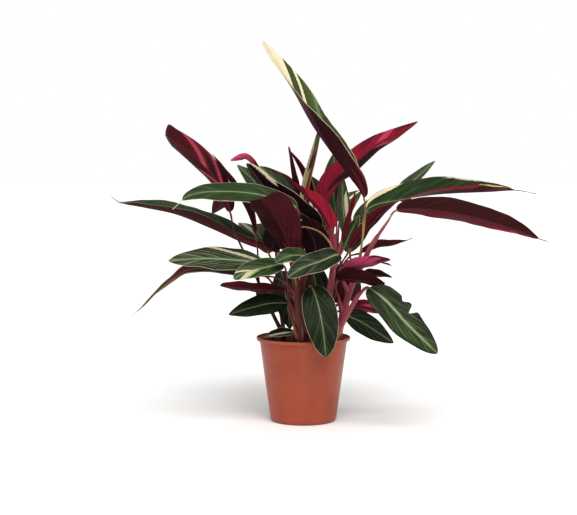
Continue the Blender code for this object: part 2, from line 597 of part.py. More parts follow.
def build_blade(group, item, top_finish, underside_finish):
    """One blade: a grid bent to the leaf's curve, split into triangles, then given thickness."""
    _, points = leaf_path(item)
    lengths = lengths_along(points)
    rows = min(max(round(lengths[-1] / BLADE_ROW_LENGTH), BLADE_ROWS_LEAST), BLADE_ROWS_MOST)
    if item["torn"]:
        rows = TORN_BLADE_ROWS
    name = item["name"]
    mesh = bpy.data.meshes.new(name)
    work = bmesh.new()
    bmesh.ops.create_grid(work, x_segments=BLADE_COLUMNS, y_segments=rows, size=1.0)
    for vertex in work.verts:
        across, t = vertex.co.x, (vertex.co.y + 1) / 2
        vertex.co = blade_point(item, points, lengths, t, across)
    bmesh.ops.triangulate(work, faces=work.faces, quad_method="SHORT_EDGE")
    work.to_mesh(mesh)
    work.free()
    mesh.materials.append(top_finish)
    mesh.materials.append(underside_finish)
    mesh.shade_smooth()
    blade = bpy.data.objects.new(name, mesh)
    group.objects.link(blade)
    thicken = blade.modifiers.new("thickness", "SOLIDIFY")
    thicken.thickness = BLADE_THICKNESS
    thicken.offset = 0.0
    thicken.material_offset = 1
    thicken.material_offset_rim = 1
    return blade


def main():
    clear_scene()
    plant = new_collection("stromanthe_triostar")
    cutters = new_collection("cutters")
    terracotta = material("terracotta plastic", (0.34, 0.09, 0.035), 0.45)
    earth = material("potting soil", (0.02, 0.013, 0.009), 0.95)
    stem = material("red stem", (0.22, 0.045, 0.05), 0.45)
    green = material("leaf top", (0.03, 0.09, 0.02), 0.4)
    burgundy = material("leaf underside", (0.09, 0.01, 0.02), 0.5)
    build_pot(plant, cutters, terracotta)
    build_soil(plant, cutters, earth)
    for shoot in SHOOTS:
        build_shoot(plant, cutters, shoot, stem)
    for item in LEAVES:
        if not item["fused"]:
            build_blade(plant, item, green, burgundy)
    bpy.data.collections.remove(cutters)


if __name__ == "__main__":
    main()
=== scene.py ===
# Dresses the stromanthe triostar: fine leaves, stalks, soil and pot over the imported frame.
import bisect
import math
import random

import bmesh
import bpy
from mathutils import Matrix, Vector, noise


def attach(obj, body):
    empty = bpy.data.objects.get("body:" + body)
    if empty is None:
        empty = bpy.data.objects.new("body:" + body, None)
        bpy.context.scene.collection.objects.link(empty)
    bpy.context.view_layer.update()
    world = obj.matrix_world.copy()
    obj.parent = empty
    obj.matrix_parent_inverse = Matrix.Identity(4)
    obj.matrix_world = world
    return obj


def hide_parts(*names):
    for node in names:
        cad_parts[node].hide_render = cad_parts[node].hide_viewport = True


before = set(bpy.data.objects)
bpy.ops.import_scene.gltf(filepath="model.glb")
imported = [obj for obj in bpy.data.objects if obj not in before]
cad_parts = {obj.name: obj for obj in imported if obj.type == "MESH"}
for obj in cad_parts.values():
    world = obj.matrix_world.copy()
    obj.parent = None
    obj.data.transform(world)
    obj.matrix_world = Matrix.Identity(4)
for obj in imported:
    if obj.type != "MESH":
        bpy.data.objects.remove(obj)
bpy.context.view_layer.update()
print("frame loaded:", len(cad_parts), "nodes")

mm = 0.001


def colourOf(hexCode):  # a hex colour as linear RGBA
    parts = [int(hexCode[i:i + 2], 16) / 255 for i in (1, 3, 5)]
    return tuple(c / 12.92 if c < 0.04045 else ((c + 0.055) / 1.055) ** 2.4 for c in parts) + (1.0,)


def ramp(value, low, high):  # a smooth step from 0 to 1
    share = min(max((value - low) / (high - low), 0.0), 1.0)
    return share * share * (3 - 2 * share)


def band(value, start, stop, soft):  # 1 between start and stop, with soft ends
    return ramp(value, start - soft, start + soft) * (1 - ramp(value, stop - soft, stop + soft))


# finishes

class Wire:  # a node's output, worked with like a number
    def __init__(self, socket):
        self.socket = socket
        self.tree = socket.id_data

    def calc(self, operation, *values):
        return put(self.tree, "ShaderNodeMath", dict(enumerate(values)), operation=operation)

    def __add__(self, other):
        return self.calc("ADD", self, other)

    def __sub__(self, other):
        return self.calc("SUBTRACT", self, other)

    def __mul__(self, other):
        return self.calc("MULTIPLY", self, other)

    def most(self, other):
        return self.calc("MAXIMUM", self, other)

    def step(self, low, high, bottom=0.0, top=1.0):  # a smooth step from bottom to top
        return put(self.tree, "ShaderNodeMapRange", {0: self, 1: low, 2: high, 3: bottom, 4: top},
                   interpolation_type="SMOOTHSTEP")


def put(tree, kind, inputs=None, out=0, **settings):  # a node with its inputs and settings
    node = tree.nodes.new(kind)
    for key, value in settings.items():
        setattr(node, key, value)
    for key, value in (inputs or {}).items():
        if isinstance(value, Wire):
            tree.links.new(value.socket, node.inputs[key])
        else:
            node.inputs[key].default_value = value
    return Wire(node.outputs[out])


def mixed(tree, factor, a, b, blendType="MIX"):
    return put(tree, "ShaderNodeMix", {0: factor, 6: a, 7: b}, 2, data_type="RGBA", blend_type=blendType)


def grain(tree, vector, scale, detail=3.0, rough=0.5):  # noise from 0 to 1
    inputs = {"Vector": vector, "Scale": scale, "Detail": detail, "Roughness": rough}
    return put(tree, "ShaderNodeTexNoise", inputs)


def joined(tree, x, y, z):
    return put(tree, "ShaderNodeCombineXYZ", {0: x, 1: y, 2: z})


def split(tree, vector):
    return [Wire(part) for part in put(tree, "ShaderNodeSeparateXYZ", {0: vector}).socket.node.outputs]


def shaded(tree, colour, shade):  # a colour made lighter or darker
    return mixed(tree, 1.0, colour, joined(tree, shade, shade, shade), "MULTIPLY")


def attribute(tree, name, out="Fac"):
    return put(tree, "ShaderNodeAttribute", out=out, attribute_name=name)


def newFinish(name):
    finish = bpy.data.materials.new(name)
    finish.use_nodes = True
    finish.node_tree.nodes.clear()
    return finish, finish.node_tree


def dress(finish, colour, rough, relief=None, specular=0.5, glow=0.0):
    # relief is (height, strength, distance), and glow is how much light comes through
    tree = finish.node_tree
    inputs = {"Base Color": colour, "Roughness": rough, "Specular IOR Level": specular}
    if relief:
        inputs["Normal"] = put(tree, "ShaderNodeBump", dict(zip(("Height", "Strength", "Distance"), relief)))
    surface = put(tree, "ShaderNodeBsdfPrincipled", inputs)
    if glow:
        through = put(tree, "ShaderNodeBsdfTranslucent", {"Color": colour})
        surface = put(tree, "ShaderNodeMixShader", {0: glow, 1: surface, 2: through})
    tree.links.new(surface.socket, tree.nodes.new("ShaderNodeOutputMaterial").inputs[0])
    return finish


# paths

curveSteps = 36


def smoothPath(knots):  # one smooth curve through the knots
    ends = [knots[0] * 2 - knots[1]] + knots + [knots[-1] * 2 - knots[-2]]
    points = []
    for before, start, stop, after in zip(ends, ends[1:], ends[2:], ends[3:]):
        span = (stop - start).length
        leave = (stop - before) * (span / ((start - before).length + span))
        arrive = (after - start) * (span / ((after - stop).length + span))
        for step in range(curveSteps):
            t = step / curveSteps
            points.append(start * (2 * t**3 - 3 * t**2 + 1) + leave * (t**3 - 2 * t**2 + t)
                          + stop * (3 * t**2 - 2 * t**3) + arrive * (t**3 - t**2))
    return points + [knots[-1]]


def lengthsOf(points):
    lengths = [0.0]
    for a, b in zip(points, points[1:]):
        lengths.append(lengths[-1] + (b - a).length)
    return lengths


def pointAt(points, lengths, distance):  # place and direction at a distance along a path
    distance = min(max(distance, 0.0), lengths[-1])
    low = min(max(bisect.bisect_left(lengths, distance) - 1, 0), len(lengths) - 2)
    share = (distance - lengths[low]) / (lengths[low + 1] - lengths[low])
    before, after = points[max(low - 1, 0)], points[min(low + 2, len(points) - 1)]
    return points[low].lerp(points[low + 1], share), (after - before).normalized()


def blended(values, t):  # a value from an even row of them
    if len(values) == 1:
        return values[0]
    place = min(max(t, 0.0), 1.0) * (len(values) - 1)
    index = min(int(place), len(values) - 2)
    return values[index] * (index + 1 - place) + values[index + 1] * (place - index)


# pieces

def placed(name, data):
    thing = bpy.data.objects.new(name, data)
    bpy.context.scene.collection.objects.link(thing)
    return thing


def meshOf(work, name):
    mesh = bpy.data.meshes.new(name)
    work.to_mesh(mesh)
    work.free()
    return mesh


def finishPiece(work, name, finishes, nodes):  # a bmesh as a piece that stands for CAD nodes
    mesh = meshOf(work, name)
    for finish in finishes:
        mesh.materials.append(finish)
    mesh.shade_smooth()
    piece = placed(name, mesh)
    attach(piece, "root")
    if nodes:
        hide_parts(*nodes)
    return piece


def turned(profile, segments):  # a profile of radii and heights, turned about the middle
    work = bmesh.new()
    verts = [work.verts.new((radius, 0.0, height)) for radius, height in profile]
    edges = [work.edges.new(pair) for pair in zip(verts, verts[1:])]
    bmesh.ops.spin(work, geom=verts + edges, cent=(0, 0, 0), axis=(0, 0, 1), dvec=(0, 0, 0),
                   angle=math.tau, steps=segments, use_merge=True, use_duplicate=False)
    bmesh.ops.remove_doubles(work, verts=work.verts, dist=0.00002)
    bmesh.ops.recalc_face_normals(work, faces=work.faces)
    return work


def quarter(steps):  # sines and cosines along a quarter circle
    angles = [math.pi / 2 * step / steps for step in range(steps + 1)]
    return [(math.sin(angle), math.cos(angle)) for angle in angles]


# the pot: thin moulded plastic with a rolled lip and a rounded foot

pot = {
    "height": 0.153, "wall": 0.0016, "footRadius": 0.0535, "corner": 0.0075, "baseRadius": 0.0593,
    "flare": 0.1355, "lipRadius": 0.085, "lipHeight": 0.006, "lipRound": 0.0012, "segments": 144,
    "drains": 6, "drainRadius": 0.004, "drainRing": 0.040,
    # the lighter tone gives worn streaks, and on the rim a painted highlight
    "colour": "#963a1b", "wornAndHighlight": "#a24e2d", "deep": "#7d3219", "roughness": 0.38,
}


def potFinish():
    finish, tree = newFinish("terracottaPlastic")
    place = put(tree, "ShaderNodeTexCoord", out="Object")
    x, y, z = split(tree, place)
    flow = grain(tree, joined(tree, x, y, z * 0.12), 46.0, 4.0, 0.6)
    cloud = grain(tree, place, 18.0, 3.0, 0.55)
    speck = grain(tree, place, 900.0, 2.0)
    plain, wornAndHighlight, deep = (colourOf(pot[key]) for key in ("colour", "wornAndHighlight", "deep"))
    colour = mixed(tree, flow.step(0.35, 0.7, 0.0, 0.35), plain, wornAndHighlight)
    colour = mixed(tree, cloud.step(0.4, 0.75, 0.0, 0.4), colour, deep)
    # painted highlight: the top 8 mm of the pot, its rolled lip, is mixed toward the lighter terracotta to
    # stand for light on the rim
    colour = mixed(tree, z.step(pot["height"] - 0.008, pot["height"], 0.0, 0.25), colour, wornAndHighlight)
    rough = cloud.step(0.2, 0.8, pot["roughness"] - 0.05, pot["roughness"] + 0.1)
    return dress(finish, colour, rough, (flow * 0.6 + speck * 0.25, 0.25, 0.0004), 0.4)


def potRadius(height):
    return pot["baseRadius"] + pot["flare"] * height


def buildPot():
    wall, top, lip, roll = (pot[key] for key in ("wall", "height", "lipRadius", "lipRound"))
    foot, bend = pot["footRadius"], pot["corner"]
    underLip = top - pot["lipHeight"]
    shoulder = potRadius(underLip)
    corner = potRadius(bend)
    profile = [(0.0, wall), (foot - wall / 2, wall)]
    profile += [(foot - wall / 2 + (corner - wall / 2 - foot) * sine, wall + bend * (1 - cosine) * 0.9)
                for sine, cosine in quarter(6)[1:]]  # the inside of the rounded foot
    profile += [(shoulder - wall, underLip - wall / 2), (lip - wall - roll, underLip + wall),
                (lip - wall - roll / 2, top - roll / 2)]
    profile += [(lip - roll + roll * sine, top - roll + roll * cosine) for sine, cosine in quarter(8)]
    profile += [(lip - roll / 4, underLip + roll / 2), (lip - roll, underLip),
                (shoulder + wall, underLip), (shoulder, underLip - wall)]
    profile += [(foot + (corner - foot) * cosine, bend * (1 - sine)) for sine, cosine in quarter(8)]
    profile.append((0.0, 0.0))
    body = placed("potShell", meshOf(turned(profile, pot["segments"]), "potShell"))
    drills = bmesh.new()
    for index in range(pot["drains"]):
        angle = math.tau * index / pot["drains"]
        place = (pot["drainRing"] * math.cos(angle), pot["drainRing"] * math.sin(angle), wall / 2)
        bmesh.ops.create_cone(drills, cap_ends=True, segments=32, radius1=pot["drainRadius"],
                              radius2=pot["drainRadius"], depth=wall * 4, matrix=Matrix.Translation(place))
    drill = placed("drainDrills", meshOf(drills, "drainDrills"))
    cut = body.modifiers.new("drains", "BOOLEAN")
    cut.operation = "DIFFERENCE"
    cut.object = drill
    cut.solver = "EXACT"
    work = bmesh.new()
    work.from_object(body, bpy.context.evaluated_depsgraph_get())
    for thing in (body, drill):
        bpy.data.objects.remove(thing, do_unlink=True)
    piece = finishPiece(work, "nurseryPot", [potFinish()], ["pot"])
    piece.data.set_sharp_from_angle(angle=math.radians(35))
    print("pot:", len(piece.data.polygons), "faces")


# the soil: a lumpy peat mix with loose crumbs and bark on top

soil = {
    "top": 0.141, "lump": 0.0016, "edgeSink": 0.003, "crumble": 0.0011, "rings": 22, "segments": 120,
    "gap": 0.0003, "crumbs": 420, "crumbSize": (0.0007, 0.0026), "seed": 7,
    "dark": "#1c130e", "brown": "#3a281c", "fibre": "#6b4d33",
}


def soilFinish():
    finish, tree = newFinish("pottingSoil")
    place = put(tree, "ShaderNodeTexCoord", out="Object")
    x, y, z = split(tree, place)
    clod = grain(tree, place, 160.0, 6.0, 0.7)
    fine = grain(tree, place, 900.0, 4.0, 0.6)
    fibre = grain(tree, joined(tree, x * 0.25, y, z), 700.0, 3.0, 0.6)
    dark, brown, pale = (colourOf(soil[key]) for key in ("dark", "brown", "fibre"))
    colour = mixed(tree, clod.step(0.4, 0.7), dark, brown)
    colour = mixed(tree, fibre.step(0.62, 0.74, 0.0, 0.7), colour, pale)
    return dress(finish, colour, 0.95, (clod + fine * 0.5, 0.9, 0.0015))


def soilHeight(x, y):
    lumps = math.sin(x * 210 + 1.3) * math.cos(y * 190 - 0.6) + 0.6 * math.sin(x * 95 - y * 130)
    sink = soil["edgeSink"] * (math.hypot(x, y) / pot["lipRadius"]) ** 4
    return soil["top"] + soil["lump"] * lumps - sink


def buildSoil(finish):
    inset = pot["wall"] + soil["gap"]
    side = potRadius(soil["top"] - 0.007) - inset
    profile = [(side * step / soil["rings"], soil["top"]) for step in range(soil["rings"] + 1)]
    profile += [(potRadius(0.1) - inset, 0.1),
                (potRadius(pot["corner"]) - inset, pot["corner"] + pot["wall"]),
                (pot["footRadius"] - inset, inset), (0.0, inset)]
    work = turned(profile, soil["segments"])
    for vert in work.verts:
        if vert.co.z > soil["top"] - soil["gap"]:
            rough = noise.fractal(vert.co * 260, 1.0, 2.0, 4)
            fade = 1 - ramp(vert.co.xy.length, side * 0.97, side)
            vert.co.z = soilHeight(vert.co.x, vert.co.y) + soil["crumble"] * rough * fade
    finishPiece(work, "soilBed", [finish], ["soil"])


def buildCrumbs(finish, canes):  # loose bits, kept clear of the canes
    draw = random.Random(soil["seed"])
    side = potRadius(soil["top"]) - pot["wall"] - 0.004
    work = bmesh.new()
    made = 0
    while made < soil["crumbs"]:
        angle, radius = draw.uniform(0, math.tau), side * math.sqrt(draw.random())
        x, y = radius * math.cos(angle), radius * math.sin(angle)
        size = draw.uniform(*soil["crumbSize"])
        if any(math.hypot(x - cx, y - cy) < cr + size for cx, cy, cr in canes):
            continue
        grown = bmesh.ops.create_icosphere(work, subdivisions=1, radius=size)["verts"]
        for vert in grown:
            vert.co *= draw.uniform(0.75, 1.15)
        turn = Matrix.Rotation(draw.uniform(0, math.tau), 4, Vector([draw.gauss(0, 1) for _ in range(3)]))
        flat = Matrix.Diagonal((draw.uniform(0.8, 1.7), draw.uniform(0.6, 1.0), draw.uniform(0.35, 0.8), 1))
        place = Matrix.Translation((x, y, soilHeight(x, y) + size * 0.25))
        bmesh.ops.transform(work, matrix=place @ turn @ flat, verts=grown)
        made += 1
    piece = finishPiece(work, "soilCrumbs", [finish], [])
    print("soil:", made, "crumbs,", len(piece.data.polygons), "faces")


# the leaves: how each one is bent and marked (mm from the middle of the pot's underside)

leafColours = {
    "deep": "#233616", "mid": "#30451b", "dark": "#131c0b", "grey": "#374631", "olive": "#4d5a30",
    "feather": "#75875a", "mist": "#9eae85", "midrib": "#aab489", "cream": "#f1e3bf", "butter": "#e9dc96",
    "lime": "#93a648", "pale": "#cfc6a6", "dusk": "#33121a", "plum": "#300c10", "burgundy": "#45141a",
    "wine": "#641826", "crimson": "#9c1d32", "ruby": "#8a1c30", "rose": "#c0465c", "magenta": "#c2486c",
    # black is the colour of dry tips; given as an underside it is painted shade
    "brown": "#3a1718", "black": "#1c0a0d", "blush": "#b8576a",
}
leafTints = {name: colourOf(code) for name, code in leafColours.items()}
creams = ("cream", "butter", "lime", "pale")

leafMake = {
    "rowLength": 0.0024, "endRows": 0.45, "thickness": 0.0007, "seatGap": 0.0007, "baseHalf": 0.0016,
    "columns": (0.0, 0.05, 0.12, 0.2, 0.29, 0.38, 0.47, 0.56, 0.65, 0.74, 0.83, 0.92, 1.0),
    "tipHalf": 0.0006, "foldHalf": 0.007, "tear": 0.035, "waves": 2.5, "phase": 1.1, "pleat": 0.0004,
    "pleatEvery": 0.0075, "unrest": 0.0016, "groove": 0.0006, "grooveReach": 0.003, "tailSpread": 0.0045,
    "bow": 0.25, "ribWidth": (0.0014, 0.0004), "patchEdge": 0.01, "markSoft": (0.018, 0.04),
    "markJitter": 0.014, "glow": 0.16,
}
leafNumbers = ("vein", "rib", "margin", "cream", "ribWidth")  # what the finishes read at each point

leafHabit = {  # what a leaf has unless it says otherwise
    "fold": (12,), "curl": -8, "taper": (0.55, 0.85), "wave": 0.05, "tail": 0.0, "torn": (),
    "young": False, "green": "deep", "under": "burgundy", "stem": "wine", "feather": 0.3, "streak": 0.1,
    "edge": "pale", "lean": 2.1, "blush": 0.7, "rosy": "blush", "marks": (),
}
leafPieces = {}


def leaf(name, shoot, joint, stalk, blade, width, top, **habit):
    # where it leaves its shoot (a share of the cane), the stalk's and blade's points, width and top's facing
    leafPieces[name] = dict(leafHabit, shoot=shoot, joint=joint, stalk=stalk, blade=blade, width=width,
                            top=top, **habit)


# a mark: face, colour, half (0 is both), start and stop along the veins, inner and outer (or 0 and 1) across
leaf("tall_leaf", "right", 0.665, [(102, -50, 320), (107, -60, 365)], [(105, -66, 405), (76, -72, 448),
    (46, -72, 488), (14, -68, 534), (-23, -60, 600), (-72, -50, 679)], 63, [(0.85, 0.1, 0.5),
    (0.8, -0.2, 0.55), (0.72, -0.62, 0.4), (0.5, -0.85, 0.3)], fold=(66, 60, 42, 14), curl=8,
    taper=(0.5, 0.78), green="mid", under="dusk", stem="straw", feather=0.5, streak=0.0, edge="cream",
    lean=4.0, blush=0.1, marks=[("top", "cream", -1, 0.3, 1.3), ("top", "cream", 1, 0.66, 1.3),
    ("top", "cream", 1, 0.455, 0.52), ("top", "feather", 1, 0.16, 0.26, 0.4),
    ("top", "olive", 1, 0.26, 0.4, 0.3), ("under", "wine", 0, -0.6, 0.0, 0, 0.5),
    ("under", "wine", 0, -0.8, -0.16, 0.4)])
leaf("upper_left_leaf", "left", 0.97, [(-124, -50, 352)], [(-130, -50, 380), (-150, -52, 430),
    (-192, -48, 478), (-238, -34, 511), (-247, -6, 516), (-248, 26, 512)], 46, [(0.45, 0.85, 0.3),
    (0.45, 0.85, 0.3), (0.95, 0.3, 0.1)], curl=20, taper=(0.42, 0.35), stem="dark", edge="wine",
    marks=[("under", "wine", -1, -0.1, 0.36, 0.05), ("under", "rose", -1, 0.36, 0.42),
    ("under", "rose", -1, 0.15, 0.18, 0.2), ("under", "brown", -1, 0.2, 0.32, 0.1, 0.8),
    ("under", "rose", 1, 0.2, 0.24, 0, 0.8), ("under", "plum", -1, -0.3, 0.12, 0.3)])
leaf("left_sliver", "left", 0.7, [(-82, -46, 316)], [(-86, -49, 342), (-101, -51, 384), (-130, -59, 434),
    (-160, -67, 482)], 40, [(0.75, 0.2, 0.6)], fold=(20,), curl=10, taper=(0.5, 0.9), under="plum",
    stem="dark", edge="crimson")
leaf("left_long_leaf", "centre_left", 0.9, [(-27, -26, 298)], [(-42, -18, 305), (-96, -15, 319),
    (-160, -24, 348), (-226, -29, 375), (-286, -30, 388), (-326, -30, 396), (-343, -30, 408)], 51,
    [(0.25, -0.4, 0.88)], fold=(58, 58, 50), curl=10, taper=(0.5, 0.75), wave=0.09, tail=0.06, green="grey",
    stem="dark", feather=0.7, edge="feather", marks=[("under", "wine", -1, -0.3, 0.22, 0, 0.6),
    ("under", "brown", -1, 0.3, 0.7, 0.3), ("both", "black", 0, 0.93, 1.3)])
leaf("green_upper_left_leaf", "centre_left", 0.2, [(-5, -51, 190), (-9, -55, 256), (-13, -62, 330)],
    [(-12, -71, 387), (-74, -80, 411), (-141, -102, 418), (-196, -115, 412), (-226, -118, 388)], 49,
    [(0.1, -0.7, 0.7), (0, -0.66, 0.75)], fold=(8,), curl=-18, taper=(0.5, 0.58), tail=0.1, stem="dark",
    feather=0.55, streak=0.12, edge="cream", marks=[("top", "pale", 0, 0.9, 1.3)])
leaf("centre_big_leaf", "centre_left", 0.86, [(-19, -54, 288)], [(-21, -60, 306), (-38, -86, 350),
    (-57, -110, 384), (-74, -126, 406)], 78, [(0.15, 0.75, 0.6)], fold=(14,), curl=14, taper=(0.45, 0.2),
    under="plum", edge="wine", marks=[("under", "crimson", 0, -0.3, 0.06, 0, 0.35),
    ("under", "burgundy", -1, -0.3, 1.2)])
# painted shade: its underside is near-black, darker than the burgundy undersides, for the shade it lies in
leaf("dark_hook_leaf", "centre", 0.3, [(14, -29, 206), (16, -28, 270), (30, -24, 330)], [(30, -26, 352),
    (-14, -32, 384), (-66, -40, 422), (-101, -44, 466)], 50, [(0.45, 0.75, 0.45)], fold=(16,), curl=16,
    taper=(0.45, 0.6), green="grey", under="black", stem="dark", feather=0.4, edge="cream", blush=0.9,
    rosy="cream", marks=[("both", "cream", -1, 0.35, 1.3, 0.72)])
leaf("pink_hook_leaf", "centre", 0.99, [(-6, -4, 342)], [(-10, 2, 366), (-58, -2, 410), (-80, -8, 445),
    (-93, -14, 467), (-106, -18, 477), (-130, -22, 471)], 25, [(0.5, 0.55, 0.6), (0.6, 0.5, 0.5),
    (0.75, 0.3, 0.45), (0.1, 0.95, 0.2)], fold=(14,), curl=16, taper=(0.8, 0.8), under="wine", edge="rose",
    marks=[("both", "magenta", 0, 0.66, 1.3), ("under", "plum", -1, -0.2, 0.6, 0.3)])
leaf("green_back_left_leaf", "centre", 0.88, [(-14, 12, 338)], [(-26, 24, 372), (-72, 22, 417),
    (-120, 18, 463)], 46, [(0.4, -0.8, 0.45)], curl=-10, green="grey", stem="dark", feather=0.9, streak=0.3,
    edge="cream")
leaf("green_upper_middle_leaf", "back", 0.95, [(8, 70, 348)], [(7, 64, 376), (-36, 60, 420),
    (-80, 54, 460)], 52, [(0.4, -0.8, 0.45)], fold=(14,), curl=-10, green="grey", stem="dark", feather=0.9,
    streak=0.25, marks=[("top", "cream", -1, 0.4, 1.2, 0.6), ("top", "burgundy", 1, -0.2, 1.2, 0.6)])
leaf("thin_dark_spear", "back", 0.93, [(0, 50, 350)], [(-4, 38, 378), (-19, 36, 434), (-27, 36, 496)], 32,
    [(0.9, 0.3, 0.2)], fold=(16,), curl=10, young=True, feather=0.2, streak=0.0, edge="crimson")
leaf("thin_red_spear", "middle", 0.93, [(36, 6, 350)], [(19, 24, 385), (-1, 30, 443), (-22, 34, 486)], 32,
    [(0.85, 0.4, 0.3)], fold=(18,), curl=10, young=True, under="wine", feather=0.2, streak=0.0,
    edge="crimson", marks=[("both", "crimson", 1, -0.2, 0.8, 0.2)])
leaf("new_spear", "centre", 0.97, [(-1, -4, 350)], [(-3, 2, 385), (1, 6, 421), (15, 10, 475),
    (33, 14, 543)], 32, [(0.1, -1, 0.05)], fold=(60,), curl=8, taper=(0.3, 0.7), wave=0, young=True,
    green="grey", under="brown", feather=0.5, marks=[("top", "feather", 0, 0.55, 1.3, 0, 0.5),
    ("top", "crimson", 1, -0.5, 0.62, 0.5), ("top", "cream", -1, -0.2, 0.66, 0.25),
    ("top", "butter", 0, 0.0, 0.4, 0, 0.3)])
leaf("right_crimson_leaf", "middle", 0.86, [(44, -14, 350)], [(33, -12, 384), (51, -6, 431), (93, 4, 466),
    (131, 12, 497), (169, 20, 518), (207, 25, 541)], 49, [(-0.35, 0.85, 0.35)], fold=(22,), curl=10,
    taper=(0.5, 0.92), stem="crimson", edge="wine", marks=[("under", "ruby", 1, -0.3, 1.3, 0.05),
    ("under", "rose", 1, 0.6, 0.7, 0.2), ("under", "wine", 1, 0.36, 0.5, 0.5),
    ("under", "wine", 1, 0.74, 1.3, 0.4), ("under", "plum", -1, 0.1, 0.6, 0.1),
    ("under", "crimson", -1, -0.3, 0.1), ("under", "rose", -1, 0.6, 0.7, 0, 0.9),
    ("under", "crimson", -1, 0.7, 1.3, 0, 0.85)])
leaf("centre_red_leaf", "middle", 0.76, [(52, -30, 328)], [(49, -44, 350), (36, -50, 378), (17, -50, 401),
    (-3, -46, 417), (-25, -38, 437)], 34, [(0.5, 0.75, 0.4)], fold=(20,), curl=10, taper=(0.4, 1.1),
    under="crimson", stem="crimson", edge="crimson", marks=[("under", "wine", 0, 0.6, 1.3),
    ("under", "wine", 1, 0.2, 0.5, 0.6)])
leaf("right_arch_leaf", "right", 0.68, [(104, -40, 330)], [(113, -40, 384), (173, -50, 402),
    (240, -52, 412), (329, -44, 416), (378, -36, 418), (413, -30, 412)], 62, [(0, -0.75, 0.65),
    (0, -0.45, 0.9), (0, -0.3, 0.95)], fold=(25, 54, 52), curl=6, taper=(0.5, 0.8), tail=0.13, stem="straw",
    feather=0.5, edge="wine", blush=0.15, marks=[("top", "cream", -1, -0.5, -0.02, 0.62),
    ("top", "butter", -1, 0.55, 0.8, 0.3, 0.7), ("top", "butter", 1, 0.66, 0.8, 0.2),
    ("top", "cream", -1, 0.22, 0.5, 0.94), ("under", "crimson", 1, -0.3, 0.5, 0.5),
    ("both", "pale", 0, 0.9, 1.3)])
leaf("right_dark_leaf", "right", 0.98, [(147, -64, 364)], [(161, -74, 384), (220, -82, 386),
    (299, -80, 372), (370, -68, 351), (408, -58, 336), (431, -50, 328)], 54, [(0.1, 0.75, 0.65)],
    fold=(14,), curl=10, taper=(0.5, 0.75), tail=0.07, under="brown", stem="straw", edge="wine",
    marks=[("under", "wine", -1, -0.3, 1.2, 0.1), ("under", "crimson", -1, 0.5, 0.8, 0.6),
    ("under", "rose", -1, 0.66, 0.72, 0.5), ("both", "black", 0, 0.95, 1.3)])
leaf("back_right_leaf", "back_right", 0.97, [(100, 56, 360)], [(150, 52, 385), (200, 56, 431),
    (243, 62, 470)], 30, [(-0.4, -0.7, 0.55)], fold=(14,), curl=0, green="grey", stem="dark", feather=0.6,
    streak=0.2, edge="cream")
leaf("right_inner_leaf", "right", 0.62, [(86, -24, 285)], [(84, -20, 312), (106, -18, 342), (138, -14, 376),
    (170, -10, 402)], 27, [(-0.45, 0.8, 0.35)], fold=(18,), curl=6, taper=(0.5, 0.7), green="dark",
    feather=0.5, streak=0.05, edge="plum", marks=[("top", "pale", -1, -0.2, 0.2, 0.88),
    ("under", "wine", 1, -0.3, 1.3, 0.4)])
leaf("thin_right_leaf", "back_right", 0.7, [(84, 20, 296)], [(104, 2, 304), (134, 2, 315), (156, 4, 318),
    (176, 6, 323), (197, 8, 331)], 34, [(-0.2, 0.5, 0.85)], fold=(18,), curl=6, taper=(0.5, 0.9), tail=0.12,
    stem="dark", edge="crimson")
leaf("pink_right_leaf", "right", 0.5, [(64, -52, 275)], [(70, -62, 284), (92, -72, 287), (122, -76, 293),
    (152, -72, 298)], 34, [(0, 0.7, 0.7)], fold=(14,), curl=10, under="magenta", stem="rose", edge="wine",
    marks=[("under", "wine", 0, 0.62, 1.3), ("under", "wine", 1, 0.2, 0.7, 0.7)])
leaf("dark_right_leaf", "right", 0.347, [(56, -44, 248)], [(61, -57, 259), (88, -76, 263),
    (141, -100, 258)], 52, [(0, 0.65, 0.75)], curl=12, under="plum", edge="plum")
leaf("small_right_leaf", "right", 0.415, [(92, -24, 257)], [(104, -18, 263), (128, -22, 266),
    (158, -30, 263)], 34, [(0, 0.55, 0.85)], curl=12, under="plum", edge="cream")
leaf("low_right_leaf", "far_right", 0.98, [(106, -62, 246)], [(114, -70, 248), (143, -88, 227),
    (180, -104, 187), (231, -112, 138)], 69, [(0.35, -0.75, 0.55), (0.35, -0.8, 0.45)], fold=(10,),
    curl=-14, taper=(0.45, 0.68), torn=[(-1, 0.34, 0.26), (-1, 0.49, 0.5)], green="dark", stem="rose",
    feather=1.0, streak=0.12, edge="deep", lean=2.8, marks=[("top", "deep", 1, 0.02, 0.6, 0.3, 0.8),
    ("top", "feather", 0, 0.1, 0.9, 0, 0.1)])
leaf("low_back_right_leaf", "back_right", 0.35, [(64, 22, 196)], [(76, 4, 192), (107, 8, 177),
    (136, 10, 158), (164, 8, 140)], 46, [(0.25, -0.8, 0.5)], fold=(8,), curl=-14, green="dark",
    feather=0.25, streak=0.0, edge="dark")
leaf("low_red_right_leaf", "back_right", 0.42, [(70, 36, 210)], [(84, 24, 204), (110, 20, 202),
    (142, 18, 194)], 38, [(0, 0.7, 0.7)], curl=10, under="wine", edge="rose",
    marks=[("under", "magenta", 0, 0.1, 0.5, 0.3, 0.9)])
leaf("front_leaf", "centre", 0.55, [(8, -48, 246)], [(14, -66, 249), (25, -88, 219), (33, -104, 178),
    (38, -112, 132)], 60, [(0, -0.8, 0.6), (0, -0.95, 0.3)], fold=(10,), curl=-14, taper=(0.42, 0.6),
    green="dark", feather=0.35, streak=0.0)
leaf("centre_green_leaf", "middle", 0.28, [(52, -20, 210), (60, -30, 262)], [(62, -76, 306),
    (28, -100, 297), (-4, -112, 286), (-28, -120, 271)], 44, [(-0.1, -0.8, 0.6)], curl=-12,
    taper=(0.45, 0.6), green="dark", feather=0.7, streak=0.05)
